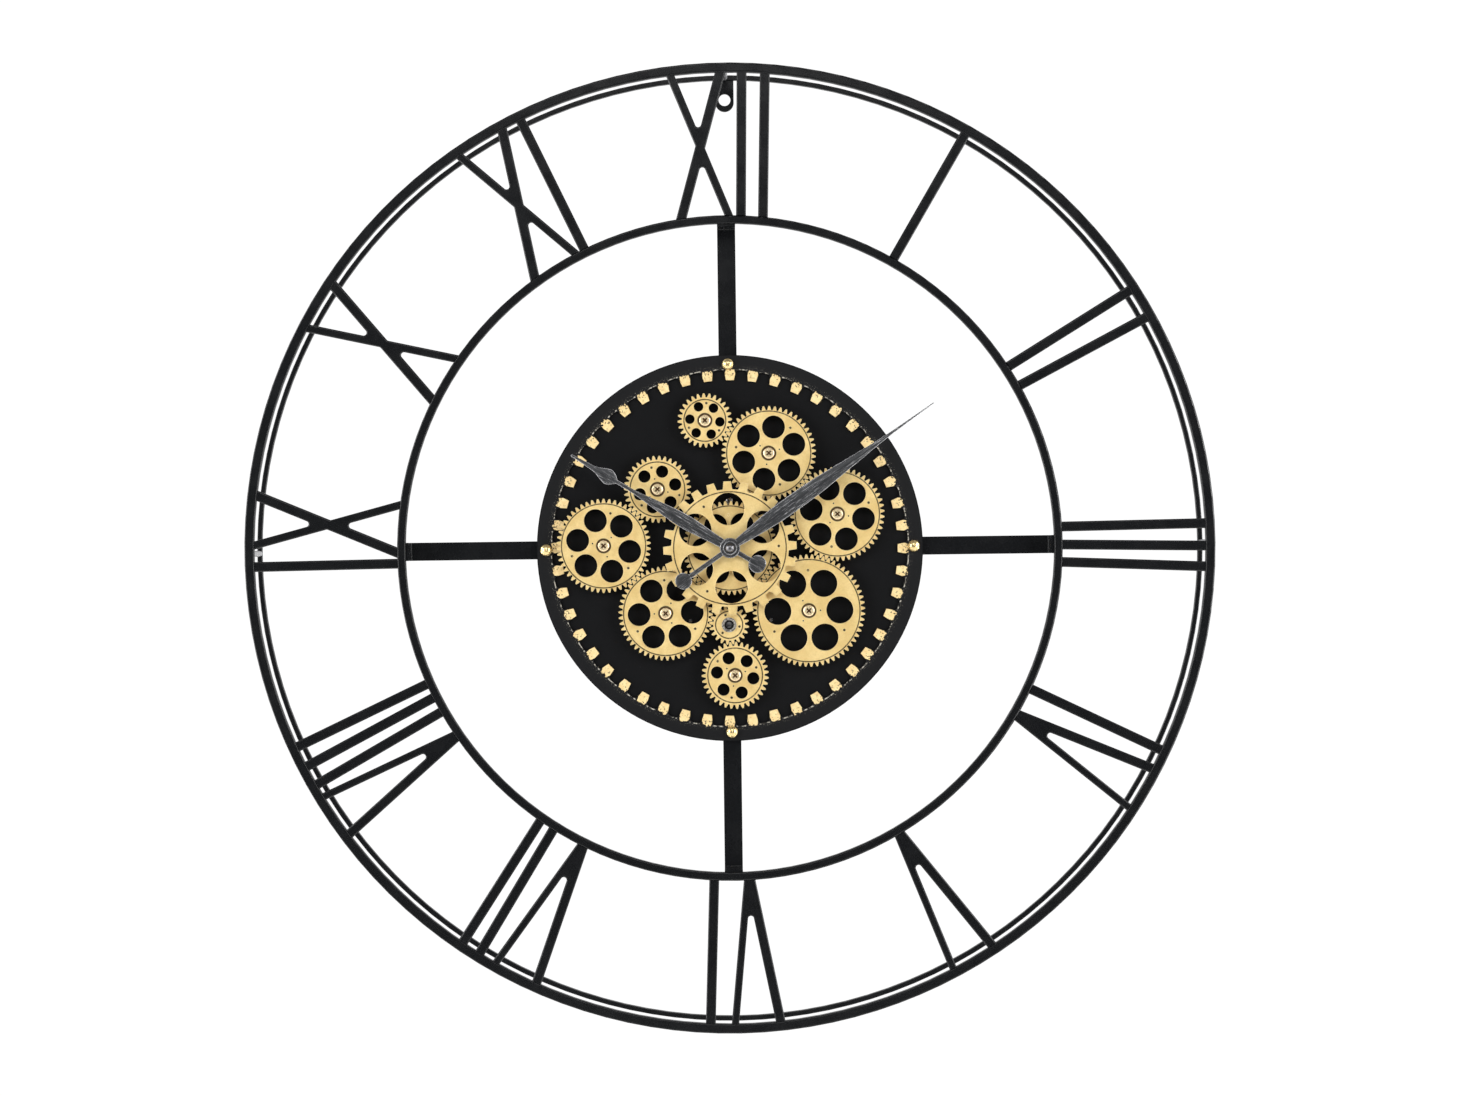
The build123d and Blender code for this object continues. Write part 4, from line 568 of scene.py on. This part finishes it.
# ---------------------------------------------------------------- pieces made here
def clock_point(clock_angle, along, across, depth):
    """A point given along and across a clock direction, at a depth in front of the wall (all in mm)."""
    a = math.radians(clock_angle)
    x = along * math.sin(a) + across * math.cos(a)
    z = along * math.cos(a) - across * math.sin(a)
    return Vector((AXIS_X + x * MM, -depth * MM, AXIS_Z + z * MM))


def curve_through(points, t):
    """The value at t of a smooth curve through (t, value) points, flat-ended."""
    if t <= points[0][0]:
        return points[0][1]
    for i in range(len(points) - 1):
        (t0, v0), (t1, v1) = points[i], points[i + 1]
        if t <= t1:
            before = points[i - 1] if i > 0 else (t0 - (t1 - t0), v0)
            after = points[i + 2] if i + 2 < len(points) else (t1 + (t1 - t0), v1)
            slope0 = (v1 - before[1]) / (t1 - before[0]) * (t1 - t0)
            slope1 = (after[1] - v0) / (after[0] - t0) * (t1 - t0)
            s = (t - t0) / (t1 - t0)
            h = s * s * (3 - 2 * s)
            return v0 + (v1 - v0) * h + slope0 * s * (1 - s) ** 2 - slope1 * s * s * (1 - s)
    return points[-1][1]


def half_width(t, curves, tail, disc):
    """Half width of a hand: its curves ahead of the axis, and a stem that ends in a disc behind it."""
    if t >= 0:
        curve = next((points for points in curves if t < points[-1][0]), curves[-1])
        return max(curve_through(curve, t), BLADE_THINNEST)
    from_disc = abs(t + tail)
    bulge = math.sqrt(max(disc * disc - from_disc * from_disc, 0.0))
    return max(bulge, TAIL_STEM if t > -tail else TAIL_END)


def skin(shape, rings):
    """Faces from each closed ring of vertices to the next."""
    for first, second in zip(rings, rings[1:]):
        for k in range(len(first)):
            j = (k + 1) % len(first)
            shape.faces.new((first[k], first[j], second[j], second[k]))


def finished(name, shape, smooth_angle):
    """Turns a bmesh into a linked object, smooth except at edges sharper than smooth_angle degrees."""
    bmesh.ops.recalc_face_normals(shape, faces=shape.faces)
    mesh = bpy.data.meshes.new(name)
    shape.to_mesh(mesh)
    shape.free()
    for polygon in mesh.polygons:
        polygon.use_smooth = True
    mesh.set_sharp_from_angle(angle=math.radians(smooth_angle))
    return link_to_scene(name, mesh)


def crowned_blade(name, clock_angle, curves, tip, tail, disc, back, stations):
    """A hand as one closed shell: flat back, straight edges and a front that rises to a soft ridge."""
    shape = bmesh.new()
    start = -tail - disc
    rings = []
    for i in range(stations + 1):
        t = start + (tip - start) * (0.5 - 0.5 * math.cos(math.pi * (i / stations)))
        w = half_width(t, curves, tail, disc)
        section = [(-w, back)]
        for k in range(BLADE_COLUMNS + 1):
            u = -1 + 2 * k / BLADE_COLUMNS
            rise = BLADE_CROWN * min(1.0, w / FULL_CROWN) * (1 - abs(u) ** CROWN_POWER)
            section.append((u * w, back + BLADE_EDGE + rise))
        section.append((w, back))
        rings.append([shape.verts.new(clock_point(clock_angle, t, across, depth))
                      for across, depth in section])
    skin(shape, rings)
    shape.faces.new(rings[0][::-1])
    shape.faces.new(rings[-1])
    return finished(name, shape, BLADE_SMOOTH)


def turned_hub(name, profile):
    """Revolves a closed (radius, depth) profile in mm about the clock's axis."""
    shape = bmesh.new()
    angles = [360 * k / HUB_SIDES for k in range(HUB_SIDES)]
    rings = [[shape.verts.new(clock_point(angle, radius, 0, depth)) for angle in angles]
             for radius, depth in profile]
    skin(shape, rings + rings[:1])
    return finished(name, shape, HUB_SMOOTH)


def make_hand(node, body, clock_angle, hub_profile, **blade_sizes):
    """A crowned hand in place of the flat one, with its round hub."""
    blade = crowned_blade(f"{node}_blade", clock_angle, **blade_sizes)
    hub = turned_hub(f"{node}_hub", hub_profile)
    look = hand_metal(f"{node}_metal", clock_angle)
    for piece in (blade, hub):
        piece.data.materials.append(look)
        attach(piece, body)
    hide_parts(node)


# ---------------------------------------------------------------- the scene
bpy.context.scene.view_settings.view_transform = "Standard"
make_camera()
make_world()
make_lights()
make_floor()
paint_nodes()
make_hand("minute_hand", "minute", 55.2, MINUTE_HUB, curves=[MINUTE_BLADE],
          tip=206.0, tail=47.0, disc=6.8, back=48.0, stations=260)
make_hand("hour_hand", "hour", 301.0, HOUR_HUB, curves=[HOUR_BLADE, HOUR_LEAF],
          tip=151.5, tail=26.2, disc=7.2, back=45.2, stations=240)
